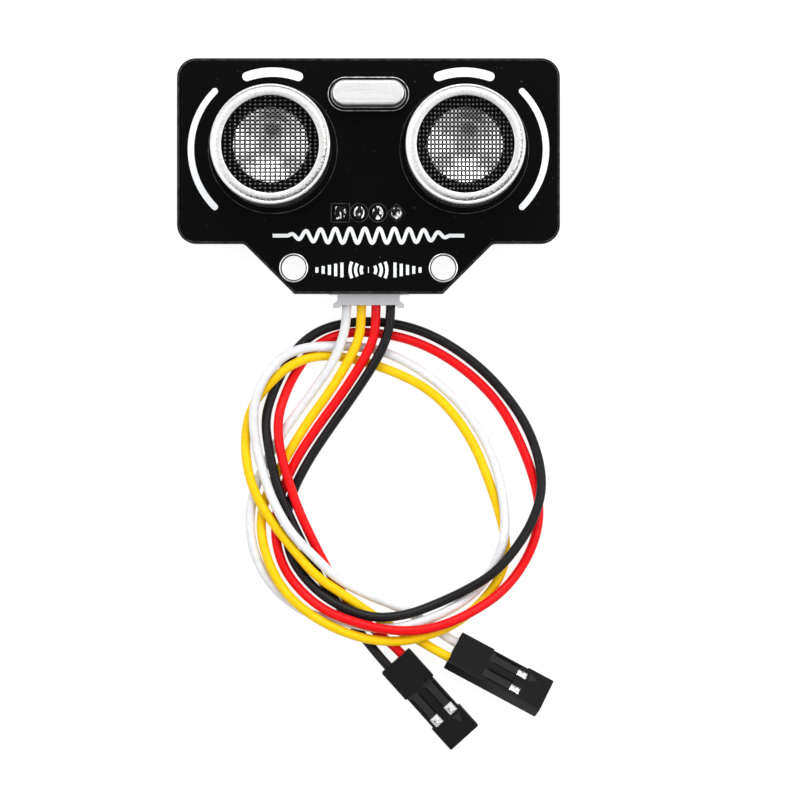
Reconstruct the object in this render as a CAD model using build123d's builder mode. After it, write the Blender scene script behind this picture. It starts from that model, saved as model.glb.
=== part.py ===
from build123d import *
import os
from math import cos, hypot, pi, radians, sin, tan

# Ultrasonic distance sensor with its plug-on cable, lying on its back.
# Millimetres. +Z comes out of the front face, +X runs along the long side of the
# board and +Y points to its top edge. The origin is on the table, under the middle
# of the board and the plug that stands out below its lower edge.

# ---------------------------------------------------------------- board
BOARD_WIDTH = 52.0
BOARD_DEPTH = 32.0
BOARD_THICK = 1.6
LOWER_EDGE_Y = -15.0
TAB_DEPTH = 6.8
TAB_HALF_WIDTH = 10.1
CORNER_RADIUS = 2.6
NOTCH_RADIUS = 1.0
PLATING = 0.05

HEADER_HEIGHT = 5.5
BACK_Z = HEADER_HEIGHT
FRONT_Z = BACK_Z + BOARD_THICK
TOP_EDGE_Y = LOWER_EDGE_Y + BOARD_DEPTH

MOUNT_HOLE_SPACING = 20.32
MOUNT_HOLE_UP = 3.55
MOUNT_HOLE_DIAMETER = 3.3
MOUNT_RING_DIAMETER = 3.95
MOUNT_HOLE_Y = LOWER_EDGE_Y + MOUNT_HOLE_UP
MOUNT_HOLES = [(-MOUNT_HOLE_SPACING / 2, MOUNT_HOLE_Y), (MOUNT_HOLE_SPACING / 2, MOUNT_HOLE_Y)]

PAD_PITCH = 2.54
PAD_Y = LOWER_EDGE_Y + 11.0
PAD_HOLE_DIAMETER = 1.0
PAD_RADIUS = 0.75
SOLDER_DOME = 0.32
SOLDER_HOLLOW = 0.38
EAR_SOLDER = (0.95, 0.9)
CRYSTAL_SOLDER = (0.8, 0.7)
PAD_XS = [(i - 1.5) * PAD_PITCH for i in range(4)]

# ---------------------------------------------------------------- transducers
EAR_X = 13.0
EAR_Y = LOWER_EDGE_Y + 19.65
EARS = {"transmitter": -EAR_X, "receiver": EAR_X}
CAN_DIAMETER = 16.0
CAN_HEIGHT = 12.0
CAN_WALL = 0.5
MOUTH_DIAMETER = 13.0
LIP_THICK = 0.9
RIM_ROUND = 1.0
LIP_ROUND = 0.25
GRILLE_THICK = 0.3
GRILLE_PITCH = 1.5
GRILLE_HOLE = 1.1
EAR_BASE_THICK = 1.6
SEAT_OUTER = 8.0
SEAT_INNER = 6.4
SEAT_HEIGHT = 5.4
PIEZO_DIAMETER = 9.6
PIEZO_THICK = 0.4
CONE_MOUTH = 10.1
CONE_FOOT = 2.4
CONE_HEIGHT = 4.0
CONE_WALL = 0.3
EAR_PIN_DIAMETER = 0.7
EAR_PIN_SPACING = 10.0
EAR_PIN_INSIDE = 3.0
EAR_PIN_BELOW = 1.4
EAR_PIN_HOLE = 1.0

# ---------------------------------------------------------------- crystal
CRYSTAL_Y = LOWER_EDGE_Y + 27.1
CRYSTAL_FLANGE = (11.05, 4.65, 0.45)
CRYSTAL_CAN = (9.9, 3.45, 3.05)
CRYSTAL_ROUND = 0.4
CRYSTAL_PIN_DIAMETER = 0.43
CRYSTAL_PIN_SPACING = 4.88
CRYSTAL_PIN_BELOW = 1.1
CRYSTAL_PIN_HOLE = 0.8

# ---------------------------------------------------------------- chips and small parts on the back
CHIP_BODY = (8.65, 3.9, 1.4)
CHIP_GAP = 0.1
CHIP_CHAMFER = 0.25
CHIP_MARK = (1.05, 0.35, 0.1)
CHIP_LEAD_PITCH = 1.27
CHIP_LEAD_WIDTH = 0.4
CHIP_LEAD_THICK = 0.2
CHIP_LEAD_SPAN = 6.0
CHIP_LEADS_A_SIDE = 7
CHIP_PLACES = {
    "controller_chip": (0.0, 6.0),
    "driver_chip": (-13.0, -3.0),
    "amplifier_chip": (13.0, -3.0),
}
SMALL_BODY = (1.6, 0.8, 0.5)
SMALL_END = 0.35
RESISTOR_PLACES = [(-3.5, 1.2), (0.0, 1.2), (3.5, 1.2), (-20.5, -1.5), (-20.5, -4.0), (20.5, -1.5)]
CAPACITOR_PLACES = [(-6.5, 10.5), (6.5, 10.5), (20.5, -4.0), (-13.0, 12.0), (13.0, 12.0)]

# ---------------------------------------------------------------- cable header and plug
HEADER_WIDTH = 11.0
HEADER_DEPTH = 7.6
HEADER_CHAMFER = 0.4
SOCKET_WIDTH = 8.8
SOCKET_HEIGHT = 4.3
SOCKET_DEPTH = 6.0
POLE_PITCH = 2.0
POLE_XS = [(i - 1.5) * POLE_PITCH for i in range(4)]
HEADER_PIN = 0.5
HEADER_PIN_LENGTH = 4.5
HEADER_PIN_FOOT = 1.2
TAB_THICK = 0.3
TAB_LENGTH = 3.0
TAB_RISE = 1.8
TAB_FOOT = 1.2
PLUG_WIDTH = 8.5
PLUG_HEIGHT = 4.0
PLUG_PROUD = 1.75
PLUG_SEATED = 5.7
PLUG_EARS_WIDTH = 9.7
PLUG_EARS_START = 0.9
PLUG_EARS_THICK = 0.4
PLUG_RECESS = (7.7, 0.3)
PLUG_END_WALL = 0.4
FINGER_SLOT = (0.9, 2.4, 0.7)
FINGER_SLOT_BACK = 2.2
CONTACT_TUNNEL = 1.6
CONTACT_SIZE = 1.5
CONTACT_BORE = 0.8
CONTACT_SETBACK = 0.45
CONTACT_BOX_LENGTH = 4.6
CRIMP = 1.3
PLUG_REAR_Y = LOWER_EDGE_Y - PLUG_PROUD
PLUG_FRONT_Y = LOWER_EDGE_Y + PLUG_SEATED
POLE_Z = HEADER_HEIGHT / 2

# ---------------------------------------------------------------- wires
WIRE_DIAMETER = 1.3
WIRE_TUCK = 0.75

# ---------------------------------------------------------------- crimp socket housings at the far end
HOUSING = (14.2, 5.08, 2.54)
HOUSING_TUCK = 0.85
HOUSING_TUNNEL = 1.7
HOUSING_FRONT_WALL = 0.8
HOUSING_MOUTH = 0.95
HOUSING_CHAMFER = 0.12
# Along the housing from its rear: start, end and then the depth or width.
HOUSING_WAIST = (5.0, 10.3, 0.25)
WAIST_SIDES = {"signal": (1,), "power": (-1, 1)}
TONGUE = (4.9, 9.2, 1.5, 0.2)
TONGUE_ROOT = 0.6
TONGUE_SLIT = (0.2, 0.35)
WINDOW = (9.2, 10.6, 1.3)
MARK = (10.9, 12.3, 0.7, 0.12)
CONTACT_BOX = (5.5, 13.3)
CONTACT_FLOOR = 1.0
SEATS = {
    "signal": Plane(
        origin=(11.53, -63.61, 2.37),
        x_dir=(cos(radians(-28.2)), sin(radians(-28.2)), 0),
        z_dir=(
            sin(radians(28.2)) * sin(radians(30)),
            cos(radians(28.2)) * sin(radians(30)),
            cos(radians(30)),
        ),
    ),
    "power": Plane(
        origin=(3.63, -65.09, 1.27),
        x_dir=(cos(radians(-48)), sin(radians(-48)), 0),
        z_dir=(0, 0, 1),
    ),
}

# ---------------------------------------------------------------- printing on the board
INK = 0.03
SIDE_ARC_RADIUS = 11.1
SIDE_ARC_WIDTH = 0.87
SIDE_ARC_HALF_ANGLE = 45.0
TOP_ARC_RADIUS = 10.45
TOP_ARC_WIDTH = 1.26
TOP_ARC_HALF_ANGLE = 19.5


def save(builder, name):
    builder.part.label = name
    export_step(builder.part, f"parts/{name}.step")


def upright(x, y):
    """The plane of a turned profile: local x is the radius, local y the height."""
    return Plane(origin=(x, y, 0), x_dir=(1, 0, 0), z_dir=(0, -1, 0))


def turning_axis(x, y):
    return Axis((x, y, 0), (0, 0, 1))


# ---------------------------------------------------------------- circuit board
with BuildPart() as circuit_board:
    with BuildSketch(Plane.XY.offset(BACK_Z)) as board_outline:
        with BuildLine():
            Polyline(
                (0, LOWER_EDGE_Y),
                (TAB_HALF_WIDTH, LOWER_EDGE_Y),
                (TAB_HALF_WIDTH + TAB_DEPTH, LOWER_EDGE_Y + TAB_DEPTH),
                (BOARD_WIDTH / 2, LOWER_EDGE_Y + TAB_DEPTH),
                (BOARD_WIDTH / 2, TOP_EDGE_Y),
                (0, TOP_EDGE_Y),
            )
            mirror(about=Plane.YZ)
        make_face()
        outer_corners = board_outline.vertices().filter_by(lambda v: abs(abs(v.X) - BOARD_WIDTH / 2) < 0.01)
        fillet(outer_corners, CORNER_RADIUS)
        notch_width = TAB_HALF_WIDTH + TAB_DEPTH
        notches = board_outline.vertices().filter_by(lambda v: abs(abs(v.X) - notch_width) < 0.01)
        fillet(notches, NOTCH_RADIUS)
    extrude(amount=BOARD_THICK)
    with BuildSketch(Plane.XY.offset(BACK_Z)):
        with Locations(*MOUNT_HOLES):
            Circle(MOUNT_HOLE_DIAMETER / 2 + PLATING)
        with Locations(*[(x, PAD_Y) for x in PAD_XS]):
            Circle(PAD_HOLE_DIAMETER / 2)
        for ear_x in EARS.values():
            with Locations(*[(ear_x + side * EAR_PIN_SPACING / 2, EAR_Y) for side in (-1, 1)]):
                Circle(EAR_PIN_HOLE / 2)
        with Locations(*[(side * CRYSTAL_PIN_SPACING / 2, CRYSTAL_Y) for side in (-1, 1)]):
            Circle(CRYSTAL_PIN_HOLE / 2)
    extrude(amount=BOARD_THICK, mode=Mode.SUBTRACT)
save(circuit_board, "circuit_board")

# Tinned rings that line the two mounting holes.
with BuildPart() as mounting_rings:
    for level, height, radius in (
        (BACK_Z - PLATING, PLATING, MOUNT_RING_DIAMETER / 2),
        (BACK_Z, BOARD_THICK, MOUNT_HOLE_DIAMETER / 2 + PLATING),
        (FRONT_Z, PLATING, MOUNT_RING_DIAMETER / 2),
    ):
        with BuildSketch(Plane.XY.offset(level)):
            with Locations(*MOUNT_HOLES):
                Circle(radius)
                Circle(MOUNT_HOLE_DIAMETER / 2, mode=Mode.SUBTRACT)
        extrude(amount=height)
save(mounting_rings, "mounting_rings")


# ---------------------------------------------------------------- solder
with BuildPart() as pad_solder:
    for pad_x in PAD_XS:
        with BuildSketch(upright(pad_x, PAD_Y)) as filled_hole:
            with BuildLine():
                TangentArc((0, FRONT_Z + SOLDER_DOME), (PAD_RADIUS, FRONT_Z), tangent=(1, 0))
                Polyline(
                    (PAD_RADIUS, FRONT_Z),
                    (PAD_HOLE_DIAMETER / 2, FRONT_Z),
                    (PAD_HOLE_DIAMETER / 2, BACK_Z),
                    (PAD_RADIUS, BACK_Z),
                )
                TangentArc((0, BACK_Z - SOLDER_DOME), (PAD_RADIUS, BACK_Z), tangent=(1, 0))
                Line((0, BACK_Z - SOLDER_DOME), (0, FRONT_Z + SOLDER_DOME))
            make_face()
        revolve(filled_hole.sketch, axis=turning_axis(pad_x, PAD_Y))
save(pad_solder, "pad_solder")


def solder_cone(x, y, core, hole, cone):
    """Adds the solder round a pin: it fills the hole and climbs the pin behind the board."""
    spread, height = cone
    with BuildSketch(upright(x, y)) as profile:
        with BuildLine():
            Polyline(
                (core, BACK_Z - height), (core, FRONT_Z), (hole, FRONT_Z), (hole, BACK_Z), (spread, BACK_Z)
            )
            hollow = ((core + spread) / 2, BACK_Z - height * SOLDER_HOLLOW)
            ThreePointArc((spread, BACK_Z), hollow, (core, BACK_Z - height))
        make_face()
    revolve(profile.sketch, axis=turning_axis(x, y))


with BuildPart() as pin_solder:
    for side in (-1, 1):
        for ear_x in EARS.values():
            pin_x = ear_x + side * EAR_PIN_SPACING / 2
            solder_cone(pin_x, EAR_Y, EAR_PIN_DIAMETER / 2, EAR_PIN_HOLE / 2, EAR_SOLDER)
        pin_x = side * CRYSTAL_PIN_SPACING / 2
        solder_cone(pin_x, CRYSTAL_Y, CRYSTAL_PIN_DIAMETER / 2, CRYSTAL_PIN_HOLE / 2, CRYSTAL_SOLDER)
save(pin_solder, "pin_solder")


# ---------------------------------------------------------------- printing
def arc_band(radius, width, middle, half_angle):
    """Adds a band of a ring with round ends, centred on the sketch's own origin."""
    start = (radius * cos(radians(middle - half_angle)), radius * sin(radians(middle - half_angle)))
    top = (radius * cos(radians(middle)), radius * sin(radians(middle)))
    end = (radius * cos(radians(middle + half_angle)), radius * sin(radians(middle + half_angle)))
    with BuildLine():
        stroke = ThreePointArc(start, top, end)
    SlotArc(stroke, width)


with BuildPart() as front_printing:
    for ear_x in EARS.values():
        outward = 0 if ear_x > 0 else 180
        with BuildSketch(Plane((ear_x, EAR_Y, FRONT_Z))):
            arc_band(SIDE_ARC_RADIUS, SIDE_ARC_WIDTH, outward, SIDE_ARC_HALF_ANGLE)
            arc_band(TOP_ARC_RADIUS, TOP_ARC_WIDTH, 90, TOP_ARC_HALF_ANGLE)
        extrude(amount=INK)
save(front_printing, "front_printing")

# ---------------------------------------------------------------- transducers
CAN_TOP = FRONT_Z + CAN_HEIGHT
LIP_BACK = CAN_TOP - LIP_THICK
PIEZO_Z = FRONT_Z + SEAT_HEIGHT
CONE_Z = PIEZO_Z + PIEZO_THICK

for ear, ear_x in EARS.items():
    ear_axis = turning_axis(ear_x, EAR_Y)
    pin_places = [(ear_x + side * EAR_PIN_SPACING / 2, EAR_Y) for side in (-1, 1)]

    with BuildPart() as can:
        with BuildSketch(upright(ear_x, EAR_Y)) as can_profile:
            with BuildLine():
                Polyline(
                    (CAN_DIAMETER / 2 - CAN_WALL, FRONT_Z),
                    (CAN_DIAMETER / 2, FRONT_Z),
                    (CAN_DIAMETER / 2, CAN_TOP),
                    (MOUTH_DIAMETER / 2, CAN_TOP),
                    (MOUTH_DIAMETER / 2, LIP_BACK),
                    (CAN_DIAMETER / 2 - CAN_WALL, LIP_BACK),
                    close=True,
                )
            make_face()
            rim_corners = can_profile.vertices().group_by(Axis.Y)[-1].sort_by(Axis.X)
            fillet(rim_corners[-1], RIM_ROUND)
            fillet(rim_corners[0], LIP_ROUND)
        revolve(axis=ear_axis)
    save(can, f"{ear}_can")

    with BuildPart() as grille:
        with BuildSketch(Plane((ear_x, EAR_Y, LIP_BACK - GRILLE_THICK))):
            Circle(CAN_DIAMETER / 2 - CAN_WALL)
            reach = int(MOUTH_DIAMETER / 2 / GRILLE_PITCH)
            steps = [i * GRILLE_PITCH for i in range(-reach, reach + 1)]
            widest = MOUTH_DIAMETER / 2 - GRILLE_HOLE / 2
            with Locations(*[(x, y) for x in steps for y in steps if hypot(x, y) < widest]):
                Rectangle(GRILLE_HOLE, GRILLE_HOLE, mode=Mode.SUBTRACT)
        extrude(amount=GRILLE_THICK)
    save(grille, f"{ear}_grille")

    with BuildPart() as base:
        with BuildSketch(Plane((ear_x, EAR_Y, FRONT_Z))):
            Circle(CAN_DIAMETER / 2 - CAN_WALL)
        extrude(amount=EAR_BASE_THICK)
        with BuildSketch(Plane((ear_x, EAR_Y, FRONT_Z + EAR_BASE_THICK))):
            Circle(SEAT_OUTER / 2)
            Circle(SEAT_INNER / 2, mode=Mode.SUBTRACT)
        extrude(amount=SEAT_HEIGHT - EAR_BASE_THICK)
        with BuildSketch(Plane.XY.offset(FRONT_Z)):
            with Locations(*pin_places):
                Circle(EAR_PIN_DIAMETER / 2)
        extrude(amount=EAR_BASE_THICK, mode=Mode.SUBTRACT)
    save(base, f"{ear}_base")

    with BuildPart() as piezo:
        with BuildSketch(Plane((ear_x, EAR_Y, PIEZO_Z))):
            Circle(PIEZO_DIAMETER / 2)
        extrude(amount=PIEZO_THICK)
    save(piezo, f"{ear}_piezo")

    with BuildPart() as cone:
        with BuildSketch(upright(ear_x, EAR_Y)):
            with BuildLine():
                Polyline(
                    (0, CONE_Z),
                    (CONE_FOOT / 2, CONE_Z),
                    (CONE_MOUTH / 2, CONE_Z + CONE_HEIGHT),
                    (CONE_MOUTH / 2 - CONE_WALL, CONE_Z + CONE_HEIGHT),
                    (CONE_FOOT / 2 - CONE_WALL / 2, CONE_Z + CONE_WALL),
                    (0, CONE_Z + CONE_WALL),
                    close=True,
                )
            make_face()
        revolve(axis=ear_axis)
    save(cone, f"{ear}_cone")

    with BuildPart() as ear_pins:
        with BuildSketch(Plane.XY.offset(BACK_Z - EAR_PIN_BELOW)):
            with Locations(*pin_places):
                Circle(EAR_PIN_DIAMETER / 2)
        extrude(amount=EAR_PIN_BELOW + BOARD_THICK + EAR_PIN_INSIDE)
    save(ear_pins, f"{ear}_pins")

# ---------------------------------------------------------------- crystal
crystal_pins_at = [(side * CRYSTAL_PIN_SPACING / 2, CRYSTAL_Y) for side in (-1, 1)]

with BuildPart() as crystal_base:
    with BuildSketch(Plane((0, CRYSTAL_Y, FRONT_Z))):
        SlotOverall(CRYSTAL_FLANGE[0], CRYSTAL_FLANGE[1])
    extrude(amount=CRYSTAL_FLANGE[2])
    with BuildSketch(Plane.XY.offset(FRONT_Z)):
        with Locations(*crystal_pins_at):
            Circle(CRYSTAL_PIN_DIAMETER / 2)
    extrude(amount=CRYSTAL_FLANGE[2], mode=Mode.SUBTRACT)
save(crystal_base, "crystal_base")

with BuildPart() as crystal_can:
    with BuildSketch(Plane((0, CRYSTAL_Y, FRONT_Z + CRYSTAL_FLANGE[2]))):
        SlotOverall(CRYSTAL_CAN[0], CRYSTAL_CAN[1])
    extrude(amount=CRYSTAL_CAN[2])
    fillet(crystal_can.faces().sort_by(Axis.Z)[-1].edges(), CRYSTAL_ROUND)
save(crystal_can, "crystal_can")

with BuildPart() as crystal_pins:
    with BuildSketch(Plane.XY.offset(BACK_Z - CRYSTAL_PIN_BELOW)):
        with Locations(*crystal_pins_at):
            Circle(CRYSTAL_PIN_DIAMETER / 2)
    extrude(amount=CRYSTAL_PIN_BELOW + BOARD_THICK + CRYSTAL_FLANGE[2])
save(crystal_pins, "crystal_pins")

# ---------------------------------------------------------------- chips on the back
chip_top = BACK_Z - CHIP_GAP
for chip_name, (chip_x, chip_y) in CHIP_PLACES.items():
    with BuildPart() as chip:
        with BuildSketch(Plane((chip_x, chip_y, chip_top - CHIP_BODY[2]))):
            Rectangle(CHIP_BODY[0], CHIP_BODY[1])
        extrude(amount=CHIP_BODY[2])
        chamfer(chip.faces().sort_by(Axis.Z)[0].edges(), CHIP_CHAMFER)
        with BuildSketch(Plane((chip_x, chip_y, chip_top - CHIP_BODY[2]))):
            with Locations((CHIP_MARK[0] - CHIP_BODY[0] / 2, CHIP_MARK[0] - CHIP_BODY[1] / 2)):
                Circle(CHIP_MARK[1])
        extrude(amount=CHIP_MARK[2], mode=Mode.SUBTRACT)
    save(chip, chip_name)

# Gull-wing legs: out of the body at half its height, down to the board, and a foot.
leg_z = chip_top - CHIP_BODY[2] / 2
leg_middle = (CHIP_BODY[1] / 2 + CHIP_LEAD_SPAN / 2) / 2
with BuildPart() as chip_legs:
    for chip_x, chip_y in CHIP_PLACES.values():
        for i in range(CHIP_LEADS_A_SIDE):
            leg_x = chip_x + (i - (CHIP_LEADS_A_SIDE - 1) / 2) * CHIP_LEAD_PITCH
            for side in (-1, 1):
                leg_edge = (leg_x - CHIP_LEAD_WIDTH / 2, chip_y, 0)
                with BuildSketch(Plane(origin=leg_edge, x_dir=(0, side, 0), z_dir=(side, 0, 0))):
                    with BuildLine():
                        Polyline(
                            (CHIP_BODY[1] / 2, leg_z),
                            (leg_middle, leg_z),
                            (leg_middle, BACK_Z - CHIP_LEAD_THICK),
                            (CHIP_LEAD_SPAN / 2, BACK_Z - CHIP_LEAD_THICK),
                            (CHIP_LEAD_SPAN / 2, BACK_Z),
                            (leg_middle - CHIP_LEAD_THICK, BACK_Z),
                            (leg_middle - CHIP_LEAD_THICK, leg_z + CHIP_LEAD_THICK),
                            (CHIP_BODY[1] / 2, leg_z + CHIP_LEAD_THICK),
                            close=True,
                        )
                    make_face()
                extrude(amount=side * CHIP_LEAD_WIDTH)
save(chip_legs, "chip_legs")


def small_bodies(places, name):
    """Makes the middle blocks of two-ended chip parts, one for each place."""
    with BuildPart() as bodies:
        with BuildSketch(Plane.XY.offset(BACK_Z - SMALL_BODY[2])):
            with Locations(*places):
                Rectangle(SMALL_BODY[0] - 2 * SMALL_END, SMALL_BODY[1])
        extrude(amount=SMALL_BODY[2])
    save(bodies, name)


small_bodies(RESISTOR_PLACES, "chip_resistors")
small_bodies(CAPACITOR_PLACES, "chip_capacitors")

with BuildPart() as solder_ends:
    with BuildSketch(Plane.XY.offset(BACK_Z - SMALL_BODY[2])):
        for small_x, small_y in RESISTOR_PLACES + CAPACITOR_PLACES:
            end_out = (SMALL_BODY[0] - SMALL_END) / 2
            with Locations(*[(small_x + side * end_out, small_y) for side in (-1, 1)]):
                Rectangle(SMALL_END, SMALL_BODY[1])
    extrude(amount=SMALL_BODY[2])
save(solder_ends, "solder_ends")

# ---------------------------------------------------------------- cable header on the back
HEADER_REAR_Y = LOWER_EDGE_Y + HEADER_DEPTH
SOCKET_END_Y = LOWER_EDGE_Y + SOCKET_DEPTH
facing_mouth = Plane(origin=(0, LOWER_EDGE_Y, POLE_Z), x_dir=(-1, 0, 0), z_dir=(0, 1, 0))

with BuildPart() as cable_header:
    with BuildSketch(facing_mouth):
        Rectangle(HEADER_WIDTH, HEADER_HEIGHT)
    extrude(amount=HEADER_DEPTH)
    with BuildSketch(facing_mouth):
        Rectangle(SOCKET_WIDTH, SOCKET_HEIGHT)
    extrude(amount=SOCKET_DEPTH, mode=Mode.SUBTRACT)
    with BuildSketch(facing_mouth):
        with Locations(*[(x, 0) for x in POLE_XS]):
            Rectangle(HEADER_PIN, HEADER_PIN)
    extrude(amount=HEADER_DEPTH, mode=Mode.SUBTRACT)
    chamfer(cable_header.edges().filter_by(Axis.Y).group_by(Axis.Z)[0], HEADER_CHAMFER)
save(cable_header, "cable_header")

# Each pin runs through the rear wall, up behind it to the board and along it in a foot.
half_pin = HEADER_PIN / 2
with BuildPart() as header_pins:
    for pole_x in POLE_XS:
        with BuildSketch(Plane(origin=(pole_x - half_pin, 0, 0), x_dir=(0, 1, 0), z_dir=(1, 0, 0))):
            with BuildLine():
                Polyline(
                    (SOCKET_END_Y - HEADER_PIN_LENGTH, POLE_Z - half_pin),
                    (HEADER_REAR_Y + HEADER_PIN, POLE_Z - half_pin),
                    (HEADER_REAR_Y + HEADER_PIN, BACK_Z - CHIP_LEAD_THICK),
                    (HEADER_REAR_Y + HEADER_PIN + HEADER_PIN_FOOT, BACK_Z - CHIP_LEAD_THICK),
                    (HEADER_REAR_Y + HEADER_PIN + HEADER_PIN_FOOT, BACK_Z),
                    (HEADER_REAR_Y, BACK_Z),
                    (HEADER_REAR_Y, POLE_Z + half_pin),
                    (SOCKET_END_Y - HEADER_PIN_LENGTH, POLE_Z + half_pin),
                    close=True,
                )
            make_face()
        extrude(amount=HEADER_PIN)
save(header_pins, "header_pins")

# Solder tabs that hold the header's flanks to the board.
with BuildPart() as header_tabs:
    for side in (-1, 1):
        flank = side * HEADER_WIDTH / 2
        with BuildSketch(Plane((0, LOWER_EDGE_Y + HEADER_DEPTH / 2, BACK_Z - TAB_RISE))):
            with Locations((flank + side * TAB_THICK / 2, 0)):
                Rectangle(TAB_THICK, TAB_LENGTH)
        extrude(amount=TAB_RISE)
        with BuildSketch(Plane((0, LOWER_EDGE_Y + HEADER_DEPTH / 2, BACK_Z - TAB_THICK))):
            with Locations((flank + side * TAB_FOOT / 2, 0)):
                Rectangle(TAB_FOOT, TAB_LENGTH)
        extrude(amount=TAB_THICK)
save(header_tabs, "header_tabs")

# ---------------------------------------------------------------- plug
EARS_Y = LOWER_EDGE_Y - PLUG_EARS_START
with BuildPart() as plug_housing:
    with BuildSketch(Plane.XY.offset(POLE_Z - PLUG_HEIGHT / 2)):
        with BuildLine():
            Polyline(
                (0, PLUG_REAR_Y + PLUG_RECESS[1]),
                (PLUG_RECESS[0] / 2, PLUG_REAR_Y + PLUG_RECESS[1]),
                (PLUG_RECESS[0] / 2, PLUG_REAR_Y),
                (PLUG_EARS_WIDTH / 2, PLUG_REAR_Y),
                (PLUG_EARS_WIDTH / 2, PLUG_REAR_Y + PLUG_EARS_THICK),
                (PLUG_WIDTH / 2, EARS_Y),
                (PLUG_WIDTH / 2, PLUG_FRONT_Y),
                (0, PLUG_FRONT_Y),
            )
            mirror(about=Plane.YZ)
        make_face()
    extrude(amount=PLUG_HEIGHT)
    with BuildSketch(Plane(origin=(0, PLUG_REAR_Y, POLE_Z), x_dir=(-1, 0, 0), z_dir=(0, 1, 0))):
        with Locations(*[(x, 0) for x in POLE_XS]):
            Rectangle(CONTACT_TUNNEL, CONTACT_TUNNEL)
    extrude(amount=PLUG_PROUD + PLUG_SEATED - PLUG_END_WALL, mode=Mode.SUBTRACT)
    with BuildSketch(Plane(origin=(0, PLUG_REAR_Y, POLE_Z), x_dir=(-1, 0, 0), z_dir=(0, 1, 0))):
        with Locations(*[(x, 0) for x in POLE_XS]):
            Rectangle(CONTACT_BORE, CONTACT_BORE)
    extrude(amount=PLUG_PROUD + PLUG_SEATED, mode=Mode.SUBTRACT)
    # Finger slots over the contacts.
    with BuildSketch(Plane.XY.offset(POLE_Z + PLUG_HEIGHT / 2 - FINGER_SLOT[2])):
        with Locations(*[(x, PLUG_FRONT_Y - FINGER_SLOT_BACK) for x in POLE_XS]):
            Rectangle(FINGER_SLOT[0], FINGER_SLOT[1])
    extrude(amount=FINGER_SLOT[2], mode=Mode.SUBTRACT)
save(plug_housing, "plug_housing")

CONTACT_END_Y = PLUG_FRONT_Y - CONTACT_SETBACK
WIRE_END_Y = PLUG_REAR_Y + WIRE_TUCK
CONTACT_BOX_Y = CONTACT_END_Y - CONTACT_BOX_LENGTH
with BuildPart() as plug_contacts:
    with BuildSketch(Plane(origin=(0, CONTACT_BOX_Y, POLE_Z), x_dir=(-1, 0, 0), z_dir=(0, 1, 0))):
        with Locations(*[(x, 0) for x in POLE_XS]):
            Rectangle(CONTACT_SIZE, CONTACT_SIZE)
            Rectangle(CONTACT_BORE, CONTACT_BORE, mode=Mode.SUBTRACT)
    extrude(amount=CONTACT_END_Y - CONTACT_BOX_Y)
    with BuildSketch(Plane(origin=(0, WIRE_END_Y, POLE_Z), x_dir=(-1, 0, 0), z_dir=(0, 1, 0))):
        with Locations(*[(x, 0) for x in POLE_XS]):
            Rectangle(CRIMP, CRIMP)
    extrude(amount=CONTACT_BOX_Y - WIRE_END_Y)
save(plug_contacts, "plug_contacts")

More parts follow.
